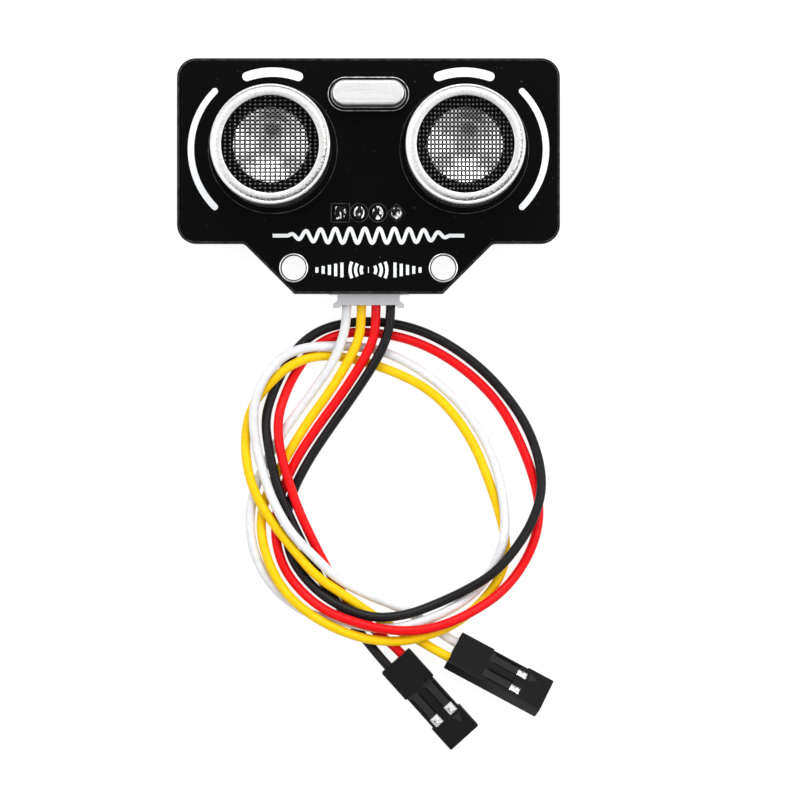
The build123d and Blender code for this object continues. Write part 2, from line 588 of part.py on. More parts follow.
# ---------------------------------------------------------------- wires
# Each wire leaves the plug, runs once round the loop and then most of a second time,
# and ends in a socket housing. Where wires cross, one climbs over the other.
ROUTES = {
    "wire_white": [
        (-3, -16, 2.75), (-3, -18, 2.75), (-3.5, -21, 2.85), (-5, -24.5, 2.6), (-7.5, -28, 1.5),
        (-10.5, -32, 0.7), (-13.5, -36.5, 0.7), (-15.75, -41.5, 0.7), (-16.5, -46.5, 0.7), (-15.5, -51.5, 0.7),
        (-12.5, -56, 0.7), (-8, -59, 0.8), (-4.25, -59.5, 1.8), (-0.5, -60.5, 2.3), (3.5, -60.75, 2.4),
        (7.5, -59.75, 2.2), (11.5, -58, 1.6), (15, -55.5, 0.8), (17, -52.5, 1.2), (18.5, -49, 2.1),
        (18.75, -45, 2), (18, -40.5, 1.3), (16.75, -36.5, 0.7), (14.25, -32, 0.7), (10.75, -28, 0.7),
        (6, -24.5, 0.7), (1.5, -22.5, 0.7), (-2.5, -22, 0.7), (-6, -22, 2.1), (-9, -22.25, 2.4),
        (-12, -23.5, 2.6), (-14.5, -26.5, 2.9), (-15.75, -30, 2.7), (-15.75, -34, 2.2), (-14.75, -38.5, 2.1),
        (-13.25, -43, 2.7), (-10.75, -47.5, 3.2), (-7.5, -50.75, 3.1), (-4.25, -54, 2.2), (0, -56.25, 0.9),
        (4, -57.75, 0.7), (7.25, -59.5, 0.7), (9.25, -60.9, 0.8), (11, -62.1, 1.7), (12.75, -63, 1.75),
    ],
    "wire_yellow": [
        (-1, -16, 2.75), (-1, -18, 2.75), (-1.25, -21, 2.6), (-3, -24.5, 2.4), (-5.5, -28.5, 1.6),
        (-8.5, -32.5, 0.8), (-11.5, -37.5, 0.7), (-14, -42, 0.7), (-15, -46.5, 0.7), (-14, -51.25, 1.7),
        (-11.75, -55.5, 2.1), (-8.5, -58.5, 2.3), (-4.5, -60.75, 2.9), (0, -62.25, 2.6), (4.5, -62.5, 2.6),
        (8.5, -61.5, 2.7), (12, -60, 2), (15.5, -57.25, 0.8), (18.25, -53.5, 0.7), (19, -49.5, 0.7),
        (18, -45, 0.7), (16.5, -40.5, 0.7), (14.5, -35.5, 0.7), (11.5, -31, 0.7), (8, -27.75, 0.7),
        (3.5, -25.5, 0.7), (-1, -24, 0.7), (-5, -23.25, 0.9), (-8, -23.5, 2.1), (-11, -24.75, 2.2),
        (-13.5, -27, 1.9), (-16, -30, 0.9), (-17, -34, 0.8), (-16.75, -38.5, 1.6), (-15.5, -42.5, 2.15),
        (-13, -46.5, 2.1), (-10, -50.25, 2.4), (-7.25, -53.5, 2.7), (-3.5, -56, 2.4), (0, -58.5, 1.4),
        (3.5, -60.75, 0.9), (6.75, -62.25, 1.2), (8.5, -63.25, 2.2), (10.1, -64.1, 3), (11.7, -64.95, 3),
    ],
    "wire_red": [
        (1, -16, 2.75), (1, -18, 2.75), (0.75, -21, 2.6), (-1, -24.5, 2.4), (-4, -29, 1.5),
        (-7, -33, 0.8), (-10, -37.5, 0.7), (-12.25, -42.5, 0.7), (-13, -47.5, 0.7), (-12, -52, 0.8),
        (-9.5, -55.5, 1.4), (-6, -58.25, 2.8), (-2, -59.75, 3.6), (2, -60.75, 3.7), (6, -61, 3.8),
        (10, -60.25, 4), (14, -58.5, 3.2), (18, -56, 1.7), (21, -52.5, 0.7), (23, -48.25, 0.7),
        (23.5, -44, 0.7), (22.5, -39.5, 0.7), (20.5, -34.5, 0.7), (18, -30, 0.7), (14.5, -26.25, 0.7),
        (10, -23, 0.7), (5.5, -21, 0.7), (1, -20.15, 0.7), (-3, -20.05, 0.7), (-7, -21.55, 0.7),
        (-9.75, -25, 0.7), (-11.5, -28.5, 0.7), (-12.5, -32, 1.8), (-12.25, -36, 2.2), (-11, -40.5, 2.2),
        (-9.6, -44.5, 2.2), (-7.75, -48.5, 1.6), (-6, -52, 0.8), (-4.25, -55, 0.7), (-2.25, -58, 0.7),
        (0.25, -60.5, 0.7), (2.15, -62.1, 0.8), (3.75, -63.4, 1.2), (5.1, -64.85, 1.27),
    ],
    "wire_black": [
        (3, -16, 2.75), (3, -18, 2.75), (2.5, -21, 2.6), (0.75, -24.5, 2.4), (-2.25, -29, 1.6),
        (-5.5, -33.5, 0.8), (-8.5, -38, 0.7), (-10.75, -42.5, 0.7), (-11.5, -47, 0.7), (-10.75, -51, 0.7),
        (-8.5, -54.25, 1), (-5.5, -56.75, 2.3), (-2, -58.5, 2.8), (1.5, -59.25, 3), (5.5, -58.75, 2.5),
        (9.5, -57.25, 1.9), (13.25, -55.5, 2.2), (17, -53.25, 2.9), (20, -50, 2.7), (22.5, -46, 2.1),
        (23.75, -42, 2.1), (23.5, -38, 1.4), (22, -33.5, 0.7), (19.5, -29.5, 0.7), (16, -25.5, 0.7),
        (11.5, -22, 0.7), (7, -19.75, 0.7), (2.5, -18.7, 0.7), (-2, -18.6, 0.7), (-6.5, -19.6, 0.7),
        (-9.75, -22, 0.7), (-11.75, -25.25, 0.7), (-13.25, -28.5, 0.7), (-14.25, -32, 1), (-13.75, -36, 2.1),
        (-12.75, -40.5, 2.2), (-11.25, -44.5, 2.2), (-9.25, -48.75, 1.6), (-7.5, -52.5, 0.8), (-5.25, -56, 0.7),
        (-2.75, -59.5, 0.7), (-0.25, -62.5, 0.7), (1.9, -65.1, 1.2), (3.25, -66.55, 1.27),
    ],
}


def bend_radii(points):
    """The largest arc that fits each corner: it takes 0.45 of the shorter run beside it."""
    corners = [Vector(*p) for p in points]
    radii = []
    for before, corner, after in zip(corners, corners[1:], corners[2:]):
        turn = radians((corner - before).get_angle(after - corner))
        shorter = min((corner - before).length, (after - corner).length)
        radii.append(0.45 * shorter / tan(turn / 2))
    return radii


for wire_name, points in ROUTES.items():
    radii = bend_radii(points)
    with BuildPart() as wire:
        with BuildLine() as wire_path:
            FilletPolyline(*points, radius=radii)
        with BuildSketch(Plane(origin=points[0], z_dir=wire_path.line % 0)):
            Circle(WIRE_DIAMETER / 2)
        sweep()
    save(wire, wire_name)
    length = wire_path.wire().length
    section = pi * WIRE_DIAMETER ** 2 / 4
    print(f"{wire_name}: {length:.1f} mm long, smallest bend {min(radii):.1f} mm,", end=" ")
    print(f"volume over section times length {wire.part.volume / (section * length):.4f}")
    print("  bends:", " ".join(f"{radius:.0f}" for radius in radii))

# ---------------------------------------------------------------- crimp socket housings
LENGTH, ACROSS, THICK = HOUSING
POLES = (-ACROSS / 4, ACROSS / 4)
FROM_REAR = (Align.MIN, Align.CENTER, Align.CENTER)
FROM_TOP = (Align.MIN, Align.CENTER, Align.MAX)


def cut_box(start, end, offset, width, height, align=FROM_REAR, level=0.0):
    """Cuts a box that runs along the housing from start to end."""
    with Locations((start, offset, level)):
        Box(end - start, width, height, align=align, mode=Mode.SUBTRACT)


for end_name, seat in SEATS.items():
    with BuildPart(seat) as housing:
        Box(LENGTH, ACROSS, THICK, align=FROM_REAR)
        chamfer(housing.edges(), HOUSING_CHAMFER)
        for side in WAIST_SIDES[end_name]:
            cut_box(HOUSING_WAIST[0], HOUSING_WAIST[1], side * ACROSS / 2, 2 * HOUSING_WAIST[2], THICK)
        for pole in POLES:
            cut_box(0, LENGTH - HOUSING_FRONT_WALL, pole, HOUSING_TUNNEL, HOUSING_TUNNEL)
            cut_box(0, LENGTH, pole, HOUSING_MOUTH, HOUSING_MOUTH)
            cut_box(TONGUE[0], TONGUE[1], pole, TONGUE[2], TONGUE[3], FROM_TOP, THICK / 2)
            for edge in (-1, 1):
                slit = pole + edge * (TONGUE[2] - TONGUE_SLIT[0]) / 2
                cut_box(
                    TONGUE[0] + TONGUE_ROOT, TONGUE[1], slit, TONGUE_SLIT[0], TONGUE_SLIT[1], FROM_TOP, THICK / 2
                )
            cut_box(WINDOW[0], WINDOW[1], pole, WINDOW[2], THICK / 2, FROM_TOP, THICK / 2)
        with BuildSketch(Plane(seat.origin + seat.z_dir * (THICK / 2), x_dir=seat.x_dir, z_dir=seat.z_dir)):
            with BuildLine():
                Polyline(
                    (MARK[0], POLES[1] - MARK[2]),
                    (MARK[0], POLES[1] + MARK[2]),
                    (MARK[1], POLES[1]),
                    close=True,
                )
            make_face()
        extrude(amount=-MARK[3], mode=Mode.SUBTRACT)
    save(housing, f"{end_name}_socket_housing")

    with BuildPart(seat) as contacts:
        for pole in POLES:
            with Locations((HOUSING_TUCK, pole, 0)):
                Box(CONTACT_BOX[0] - HOUSING_TUCK, CRIMP, CRIMP, align=FROM_REAR)
            with Locations((CONTACT_BOX[0], pole, 0)):
                Box(CONTACT_BOX[1] - CONTACT_BOX[0], CONTACT_SIZE, CONTACT_SIZE, align=FROM_REAR)
            cut_box(CONTACT_BOX[0] + CONTACT_FLOOR, LENGTH, pole, CONTACT_BORE, CONTACT_BORE)
    save(contacts, f"{end_name}_socket_contacts")
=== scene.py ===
"""Builds the looks of an ultrasonic distance sensor and its loose cable round its CAD frame."""

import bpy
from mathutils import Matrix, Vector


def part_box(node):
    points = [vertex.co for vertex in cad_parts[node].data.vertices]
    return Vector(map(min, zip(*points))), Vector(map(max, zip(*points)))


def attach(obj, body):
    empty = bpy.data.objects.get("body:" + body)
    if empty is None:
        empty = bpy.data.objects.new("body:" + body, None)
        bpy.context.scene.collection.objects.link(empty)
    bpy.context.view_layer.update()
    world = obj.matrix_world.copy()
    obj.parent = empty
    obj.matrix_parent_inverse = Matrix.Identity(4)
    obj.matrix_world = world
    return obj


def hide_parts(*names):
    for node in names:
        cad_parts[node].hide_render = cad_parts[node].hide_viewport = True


bl_info = {
    "name": "Ultrasonic Distance Sensor",
    "version": (1, 0, 0),
    "blender": (4, 5, 0),
    "location": "3D View > Sidebar > Sensor",
    "description": "Ultrasonic distance sensor on a black board, with a plug-on cable",
    "category": "Object",
}

import functools
from math import cos, hypot, pi, radians, sin

import bpy
from bpy.props import FloatProperty, FloatVectorProperty, PointerProperty
from mathutils import Matrix, Vector

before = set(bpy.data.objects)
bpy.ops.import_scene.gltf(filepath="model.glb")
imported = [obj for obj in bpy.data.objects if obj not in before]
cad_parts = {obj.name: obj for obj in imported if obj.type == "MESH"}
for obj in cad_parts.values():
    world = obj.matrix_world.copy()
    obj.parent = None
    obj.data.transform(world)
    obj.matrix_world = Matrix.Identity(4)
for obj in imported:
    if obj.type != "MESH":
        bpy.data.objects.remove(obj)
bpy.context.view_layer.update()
MM = 0.001

# Places and sizes that come from the frame.
BOARD_LOW, BOARD_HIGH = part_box("circuit_board")
BACK_Z, FRONT_Z = BOARD_LOW[2], BOARD_HIGH[2]
LOWER_EDGE_Y = BOARD_LOW[1]
EARS = ("transmitter", "receiver")

# Each wire's route in millimetres: the points that its line is drawn through the middle of.
ROUTES = {
    "wire_white": [
        (-3, -16, 2.75), (-3, -18, 2.75), (-3.5, -21, 2.85), (-5, -24.5, 2.6), (-7.5, -28, 1.5),
        (-10.5, -32, 0.7), (-13.5, -36.5, 0.7), (-15.75, -41.5, 0.7), (-16.5, -46.5, 0.7), (-15.5, -51.5, 0.7),
        (-12.5, -56, 0.7), (-8, -59, 0.8), (-4.25, -59.5, 1.8), (-0.5, -60.5, 2.3), (3.5, -60.75, 2.4),
        (7.5, -59.75, 2.2), (11.5, -58, 1.6), (15, -55.5, 0.8), (17, -52.5, 1.2), (18.5, -49, 2.1),
        (18.75, -45, 2), (18, -40.5, 1.3), (16.75, -36.5, 0.7), (14.25, -32, 0.7), (10.75, -28, 0.7),
        (6, -24.5, 0.7), (1.5, -22.5, 0.7), (-2.5, -22, 0.7), (-6, -22, 2.1), (-9, -22.25, 2.4),
        (-12, -23.5, 2.6), (-14.5, -26.5, 2.9), (-15.75, -30, 2.7), (-15.75, -34, 2.2), (-14.75, -38.5, 2.1),
        (-13.25, -43, 2.7), (-10.75, -47.5, 3.2), (-7.5, -50.75, 3.1), (-4.25, -54, 2.2), (0, -56.25, 0.9),
        (4, -57.75, 0.7), (7.25, -59.5, 0.7), (9.25, -60.9, 0.8), (11, -62.1, 1.7), (12.75, -63, 1.75),
    ],
    "wire_yellow": [
        (-1, -16, 2.75), (-1, -18, 2.75), (-1.25, -21, 2.6), (-3, -24.5, 2.4), (-5.5, -28.5, 1.6),
        (-8.5, -32.5, 0.8), (-11.5, -37.5, 0.7), (-14, -42, 0.7), (-15, -46.5, 0.7), (-14, -51.25, 1.7),
        (-11.75, -55.5, 2.1), (-8.5, -58.5, 2.3), (-4.5, -60.75, 2.9), (0, -62.25, 2.6), (4.5, -62.5, 2.6),
        (8.5, -61.5, 2.7), (12, -60, 2), (15.5, -57.25, 0.8), (18.25, -53.5, 0.7), (19, -49.5, 0.7),
        (18, -45, 0.7), (16.5, -40.5, 0.7), (14.5, -35.5, 0.7), (11.5, -31, 0.7), (8, -27.75, 0.7),
        (3.5, -25.5, 0.7), (-1, -24, 0.7), (-5, -23.25, 0.9), (-8, -23.5, 2.1), (-11, -24.75, 2.2),
        (-13.5, -27, 1.9), (-16, -30, 0.9), (-17, -34, 0.8), (-16.75, -38.5, 1.6), (-15.5, -42.5, 2.15),
        (-13, -46.5, 2.1), (-10, -50.25, 2.4), (-7.25, -53.5, 2.7), (-3.5, -56, 2.4), (0, -58.5, 1.4),
        (3.5, -60.75, 0.9), (6.75, -62.25, 1.2), (8.5, -63.25, 2.2), (10.1, -64.1, 3), (11.7, -64.95, 3),
    ],
    "wire_red": [
        (1, -16, 2.75), (1, -18, 2.75), (0.75, -21, 2.6), (-1, -24.5, 2.4), (-4, -29, 1.5),
        (-7, -33, 0.8), (-10, -37.5, 0.7), (-12.25, -42.5, 0.7), (-13, -47.5, 0.7), (-12, -52, 0.8),
        (-9.5, -55.5, 1.4), (-6, -58.25, 2.8), (-2, -59.75, 3.6), (2, -60.75, 3.7), (6, -61, 3.8),
        (10, -60.25, 4), (14, -58.5, 3.2), (18, -56, 1.7), (21, -52.5, 0.7), (23, -48.25, 0.7),
        (23.5, -44, 0.7), (22.5, -39.5, 0.7), (20.5, -34.5, 0.7), (18, -30, 0.7), (14.5, -26.25, 0.7),
        (10, -23, 0.7), (5.5, -21, 0.7), (1, -20.15, 0.7), (-3, -20.05, 0.7), (-7, -21.55, 0.7),
        (-9.75, -25, 0.7), (-11.5, -28.5, 0.7), (-12.5, -32, 1.8), (-12.25, -36, 2.2), (-11, -40.5, 2.2),
        (-9.6, -44.5, 2.2), (-7.75, -48.5, 1.6), (-6, -52, 0.8), (-4.25, -55, 0.7), (-2.25, -58, 0.7),
        (0.25, -60.5, 0.7), (2.15, -62.1, 0.8), (3.75, -63.4, 1.2), (5.1, -64.85, 1.27),
    ],
    "wire_black": [
        (3, -16, 2.75), (3, -18, 2.75), (2.5, -21, 2.6), (0.75, -24.5, 2.4), (-2.25, -29, 1.6),
        (-5.5, -33.5, 0.8), (-8.5, -38, 0.7), (-10.75, -42.5, 0.7), (-11.5, -47, 0.7), (-10.75, -51, 0.7),
        (-8.5, -54.25, 1), (-5.5, -56.75, 2.3), (-2, -58.5, 2.8), (1.5, -59.25, 3), (5.5, -58.75, 2.5),
        (9.5, -57.25, 1.9), (13.25, -55.5, 2.2), (17, -53.25, 2.9), (20, -50, 2.7), (22.5, -46, 2.1),
        (23.75, -42, 2.1), (23.5, -38, 1.4), (22, -33.5, 0.7), (19.5, -29.5, 0.7), (16, -25.5, 0.7),
        (11.5, -22, 0.7), (7, -19.75, 0.7), (2.5, -18.7, 0.7), (-2, -18.6, 0.7), (-6.5, -19.6, 0.7),
        (-9.75, -22, 0.7), (-11.75, -25.25, 0.7), (-13.25, -28.5, 0.7), (-14.25, -32, 1), (-13.75, -36, 2.1),
        (-12.75, -40.5, 2.2), (-11.25, -44.5, 2.2), (-9.25, -48.75, 1.6), (-7.5, -52.5, 0.8), (-5.25, -56, 0.7),
        (-2.75, -59.5, 0.7), (-0.25, -62.5, 0.7), (1.9, -65.1, 1.2), (3.25, -66.55, 1.27),
    ],
}
# The length of each wire.
WIRE_LENGTHS = {"wire_white": 0.185, "wire_yellow": 0.185, "wire_red": 0.182, "wire_black": 0.1825}


# The test pads from left to right: the turn of a four-cornered one, or None for a round one.
PAD_TURNS = (45, None, None, 0)
PAD_GAP = 1.2 * MM
# The pitch of each mesh, across and up.
MESH_CELLS = {"transmitter": (0.67 * MM, 0.53 * MM), "receiver": (0.51 * MM, 0.59 * MM)}
# Where the latch tongues lie in a socket housing: from its rear face, and above its middle.
TONGUE_X = (4.9 * MM, 12.4 * MM)
TONGUE_Z = (0.95 * MM, 1.25 * MM)
# A socket's ways lie this far each side of its middle, in millimetres.
POLE = 1.27
# The blocks of a contact's sprung tongue: start, end, side, width, underside and top, in millimetres.
LANCES = (
    (9.35, 10.0, 0.0, 0.86, 0.7, 0.98),
    (10.0, 10.28, -0.2, 0.4, 0.7, 0.9),
    (10.28, 10.5, 0.18, 0.5, 0.7, 0.95),
)


# ---------------------------------------------------------------- settings
def colour(name, description, default):
    return FloatVectorProperty(
        name=name, description=description, default=default, subtype="COLOR", size=3, min=0, max=1
    )


def size(name, description, millimetres):
    return FloatProperty(
        name=name, description=description, default=millimetres * MM, min=0, unit="LENGTH", precision=5
    )


class WireSettings(bpy.types.PropertyGroup):
    diameter: size("Diameter", "Outer diameter of a wire's insulation", 1.3)
    white: colour("White", "Colour of the echo wire", (0.74, 0.75, 0.77))
    yellow: colour("Yellow", "Colour of the trigger wire", (0.90, 0.56, 0.002))
    red: colour("Red", "Colour of the supply wire", (0.80, 0.003, 0.006))
    black: colour("Black", "Colour of the ground wire", (0.009, 0.009, 0.010))


class BoardSettings(bpy.types.PropertyGroup):
    mask: colour("Solder mask", "Colour of the board's coating", (0.0022, 0.0022, 0.0024))
    ink: colour("Ink", "Colour of the printing", (0.86, 0.90, 0.91))
    edge_round: size("Edge rounding", "How far the board's edges are rounded", 0.07)
    pour_inset: size("Pour inset", "Gap between the board's edge and its copper layer", 0.22)
    pour_step: size("Pour step", "Height by which the copper layer lifts the coating", 0.018)
    can_gap: size("Can gap", "Radius of the gap in the copper layer under each can", 8.7)
    line: size("Line width", "Width of the printed lines", 0.42)


class TransducerSettings(bpy.types.PropertyGroup):
    can: colour("Can", "Colour of the drawn cans", (0.80, 0.80, 0.79))
    wire: size("Mesh wire", "Diameter of the wire in the woven mesh", 0.26)
    grain: size("Grain", "Size of the grain on the cans", 0.24)


class StageSettings(bpy.types.PropertyGroup):
    camera_height: size("Camera height", "Height of the camera above the floor", 577.1)
    camera_x: size("Camera X", "How far right of the board's middle the camera hangs", 4.28)
    camera_down: size("Camera down", "How far below the board's middle the camera hangs", 29.4)
    lens: FloatProperty(name="Lens", description="Focal length", default=189, min=1, unit="CAMERA")
    key: FloatProperty(
        name="Key light", description="Power of the main softbox", default=2.3, min=0, unit="POWER"
    )
    ceiling: FloatProperty(name="Ceiling", description="Brightness overhead", default=0.95, min=0)
    walls: FloatProperty(name="Walls", description="Brightness towards the horizon", default=0.2, min=0)


# ---------------------------------------------------------------- materials
class Value:
    """A number on its way through a material: arithmetic on it adds Math nodes."""

    def __init__(self, finish, socket):
        self.finish = finish
        self.socket = socket

    def _math(self, operation, left, right):
        return self.finish.node("Math", {"operation": operation}, {0: left, 1: right})

    def __add__(self, other):
        return self._math("ADD", self, other)

    def __sub__(self, other):
        return self._math("SUBTRACT", self, other)

    def __rsub__(self, other):
        return self._math("SUBTRACT", other, self)

    def __mul__(self, other):
        return self._math("MULTIPLY", self, other)

    def __gt__(self, other):
        return self._math("GREATER_THAN", self, other)

    __radd__ = __add__
    __rmul__ = __mul__


class Nodes:
    """A node tree under construction."""

    def __init__(self, tree):
        self.tree = tree

    def node(self, kind, settings=None, inputs=None, output=0):
        """Adds a node, applies its settings, fills its sockets and returns one output as a Value."""
        added = self.tree.nodes.new("ShaderNode" + kind)
        for key, setting in (settings or {}).items():
            setattr(added, key, setting)
        for key, value in (inputs or {}).items():
            self.fill(added.inputs[key], value)
        return Value(self, added.outputs[output])

    def fill(self, socket, value):
        if isinstance(value, Value):
            self.tree.links.new(value.socket, socket)
        elif socket.type == "RGBA":
            socket.default_value = (*value, 1)
        else:
            socket.default_value = value

    def spread(self, value, low, high, start=0.0, end=1.0):
        """Maps low..high to start..end, held at both ends."""
        return self.node("MapRange", None, {0: value, 1: low, 2: high, 3: start, 4: end})


class Finish(Nodes):
    """A material under construction, with the patterns that the finishes share."""

    def __init__(self, name):
        self.material = bpy.data.materials.new(name)
        self.material.use_nodes = True
        super().__init__(self.material.node_tree)
        self.shader = self.tree.nodes["Principled BSDF"]

    def surface(self, **sockets):
        """Sets the shader's sockets, given as base_color=... for Base Color and so on."""
        for key, value in sockets.items():
            words = key.replace("_ior_", "_IOR_").split("_")
            name = " ".join(word if word.isupper() else word.capitalize() for word in words)
            self.fill(self.shader.inputs[name], value)
        return self.material

    def place(self, centre=(0, 0, 0), turn=0, stretch=(1, 1, 1)):
        """Object coordinates, moved so that centre is the origin, turned about Z and stretched."""
        here = self.node("TexCoord", output="Object")
        moved = self.node("VectorMath", {"operation": "SUBTRACT"}, {0: here, 1: tuple(centre)})
        return self.node("Mapping", None, {"Vector": moved, "Rotation": (0, 0, turn), "Scale": stretch})

    def noise(self, grain, detail=3.0, roughness=0.5, place=None):
        """Soft blotches about as wide as grain, in metres."""
        place = place or self.place()
        inputs = {"Vector": place, "Scale": 1 / grain, "Detail": detail, "Roughness": roughness}
        return self.node("TexNoise", None, inputs)

    def vary(self, pattern, start, end):
        """The middle of a noise pattern's range, spread over start..end."""
        return self.spread(pattern, 0.3, 0.7, start, end)

    def blend(self, factor, first, second):
        """Mixes two colours."""
        return self.node("Mix", {"data_type": "RGBA"}, {0: factor, 6: first, 7: second}, output=2)

    def bump(self, height, depth, strength=1.0):
        """Turns a 0..1 height into a normal, for a relief that is depth metres deep."""
        return self.node("Bump", None, {"Height": height, "Strength": strength, "Distance": depth})

    def rings(self, centre, pitch):
        """Fine turned grooves round an upright axis."""
        place = self.place(centre)
        return self.node(
            "TexWave", {"wave_type": "RINGS", "rings_direction": "Z"},
            {"Vector": place, "Scale": 0.5 / pitch / pi, "Distortion": 0.4, "Detail": 1.0}, output="Fac",
        )


def shade(colour, k):
    return tuple(min(1.0, c * k) for c in colour)


def settings(group):
    return getattr(bpy.context.scene, "sensor_" + group)


@functools.cache
def solder_mask():
    """Satin black coating over glass cloth: a faint weave, a few specks of dust."""
    f = Finish("solder_mask")
    base = tuple(settings("board").mask)
    cloth = f.noise(0.5 * MM, 2)
    dust = f.noise(0.35 * MM, 1) > 0.79
    worn = f.noise(6 * MM, 4)
    return f.surface(
        base_color=f.blend(dust * 0.6, base, (0.10, 0.10, 0.11)),
        roughness=f.vary(worn, 0.34, 0.44),
        specular_ior_level=0.03,
        normal=f.bump(cloth, 0.004 * MM, 0.6),
    )


@functools.cache
def thin_mask():
    """Coating stretched thin over the edge of the copper layer, so it looks lighter; the lighter colour is also
    a painted highlight along that edge.
    """
    f = Finish("thin_mask")
    patch = f.noise(1.2 * MM, 3)
    return f.surface(
        base_color=f.blend(f.spread(patch, 0.35, 0.65), (0.03, 0.03, 0.031), (0.12, 0.12, 0.122)),
        roughness=f.vary(patch, 0.3, 0.4),
        specular_ior_level=0.1,
        normal=f.bump(patch, 0.004 * MM, 0.5),
    )


@functools.cache
def laminate():
    """The board's cut edge: dark glass laminate with layers of fibre."""
    f = Finish("laminate")
    layers = f.noise(0.25 * MM, 3, place=f.place(stretch=(0.15, 0.15, 1)))
    return f.surface(
        base_color=f.blend(layers, (0.004, 0.004, 0.0045), (0.028, 0.026, 0.022)),
        roughness=f.vary(layers, 0.5, 0.75),
        specular_ior_level=0.3,
        normal=f.bump(layers, 0.02 * MM, 0.7),
    )


@functools.cache
def white_ink():
    f = Finish("white_ink")
    base = tuple(settings("board").ink)
    screen = f.noise(0.12 * MM, 2)
    patch = f.noise(1.4 * MM, 3)
    return f.surface(
        base_color=f.blend(f.spread(patch, 0.35, 0.7), shade(base, 0.94), base),
        roughness=f.vary(screen, 0.5, 0.66),
        normal=f.bump(screen, 0.006 * MM, 0.6),
    )


@functools.cache
def drawn_metal(x, y, groove):
    """Satin can face: fine pitted grain, with extra dark specks in the groove inside its rim towards the lower
    left, as painted shade.
    """
    f = Finish("drawn_metal")
    own = settings("transducers")
    base = tuple(own.can)
    pits = f.noise(own.grain, 4, 0.65)
    fine = f.noise(0.07 * MM, 2)
    from_axis = f.place((x, y, 0), radians(-35), (1, 1, 0))
    reach = f.node("VectorMath", {"operation": "LENGTH"}, {0: from_axis}, output="Value")
    side = f.node("SeparateXYZ", None, {0: from_axis}, output="Y")
    # Painted shade: the band by the groove gets extra dark specks, only on the lower-left side.
    low = f.spread(side, -groove * 0.9, 0, 1, 0)
    near = f.spread(reach, groove - 0.55 * MM, groove) * f.spread(reach, groove, groove + 0.16 * MM, 1, 0)
    specks = f.spread(pits + near * low * 0.30, 0.62, 0.70)
    grey = f.blend(f.spread(pits, 0.35, 0.65), shade(base, 0.68), base)
    return f.surface(
        base_color=f.blend(specks, grey, (0.16, 0.16, 0.16)),
        metallic=1.0,
        roughness=f.vary(fine, 0.32, 0.46),
        normal=f.bump(pits * (0.3 + low * 0.7), 0.012 * MM, 0.6),
    )


@functools.cache
def can_wall():
    """The can's smoother side, with faint drawing lines."""
    f = Finish("can_wall")
    drawn = f.noise(0.3 * MM, 3, place=f.place(stretch=(1, 1, 0.1)))
    return f.surface(
        base_color=f.blend(drawn, (0.62, 0.61, 0.60), (0.5, 0.5, 0.49)),
        metallic=1.0,
        roughness=f.vary(drawn, 0.16, 0.26),
        normal=f.bump(drawn, 0.006 * MM, 0.6),
    )


@functools.cache
def mesh_wire(crown, wire):
    """Blackened steel wire, with painted highlights: its colour is lighter on the crowns where one wire climbs
    over another.
    """
    f = Finish("mesh_wire")
    patchiness = f.noise(0.5 * MM, 3)
    height = f.node("SeparateXYZ", None, {0: f.place()}, output="Z")
    # Painted highlight: lighter colour on the tops of the crossings, in patches.
    crown_highlight = f.spread(height, crown - 0.22 * wire, crown - 0.04 * wire) * f.spread(patchiness, 0.3, 0.55, 0.4, 1)
    return f.surface(
        base_color=f.blend(crown_highlight, (0.008, 0.008, 0.008), (0.30, 0.30, 0.30)),
        metallic=0.9,
        roughness=f.vary(patchiness, 0.42, 0.3),
        specular_ior_level=0.2,
        normal=f.bump(f.noise(0.08 * MM, 2), 0.01 * MM, 0.5),
    )


@functools.cache
def spun_metal(x, y):
    """Bright spun cone with fine turned grooves."""
    f = Finish("spun_metal")
    grooves = f.rings((x, y, 0), 0.16 * MM)
    haze = f.noise(0.9 * MM, 3)
    return f.surface(
        base_color=f.blend(haze, (0.82, 0.82, 0.81), (0.76, 0.76, 0.75)),
        metallic=0.88,
        roughness=f.vary(haze, 0.13, 0.20),
        normal=f.bump(grooves, 0.004 * MM, 0.5),
    )


@functools.cache
def plated_case(name, dimming):
    """Nickel plating on the crystal's can: a soft brushed sheen with handling marks. Its second argument
    darkens the colour; the darker copy on the can's sides is painted shade.
    """
    f = Finish(name)
    brushed = f.noise(0.3 * MM, 3, place=f.place(stretch=(0.08, 1, 1)))
    grain = f.noise(0.12 * MM, 3)
    return f.surface(
        base_color=f.blend(
            f.spread(grain, 0.3, 0.7), shade((0.66, 0.66, 0.66), dimming), shade((0.82, 0.82, 0.81), dimming)
        ),
        metallic=1.0,
        roughness=f.vary(brushed, 0.30, 0.42),
        normal=f.bump(brushed * 0.4 + grain * 0.6, 0.012 * MM, 0.7),
    )


@functools.cache
def dark_flange():
    """Black finish: the crystal's seal ring, and painted shade on the walls of the mounting holes."""
    f = Finish("dark_flange")
    grain = f.noise(0.2 * MM, 3)
    return f.surface(
        base_color=f.blend(grain, (0.003, 0.003, 0.003), (0.010, 0.010, 0.010)),
        roughness=f.vary(grain, 0.3, 0.45),
        specular_ior_level=0.06,
        normal=f.bump(grain, 0.008 * MM, 0.6),
    )


@functools.cache
def bead_shine():
    """The raised edges of the seal ring, coloured lighter as painted highlights."""
    f = Finish("bead_shine")
    worn = f.noise(0.8 * MM, 3)
    return f.surface(
        base_color=f.blend(f.spread(worn, 0.35, 0.65), (0.30, 0.30, 0.30), (0.75, 0.75, 0.75)),
        metallic=0.9,
        roughness=f.vary(worn, 0.25, 0.4),
        normal=f.bump(worn, 0.005 * MM, 0.5),
    )


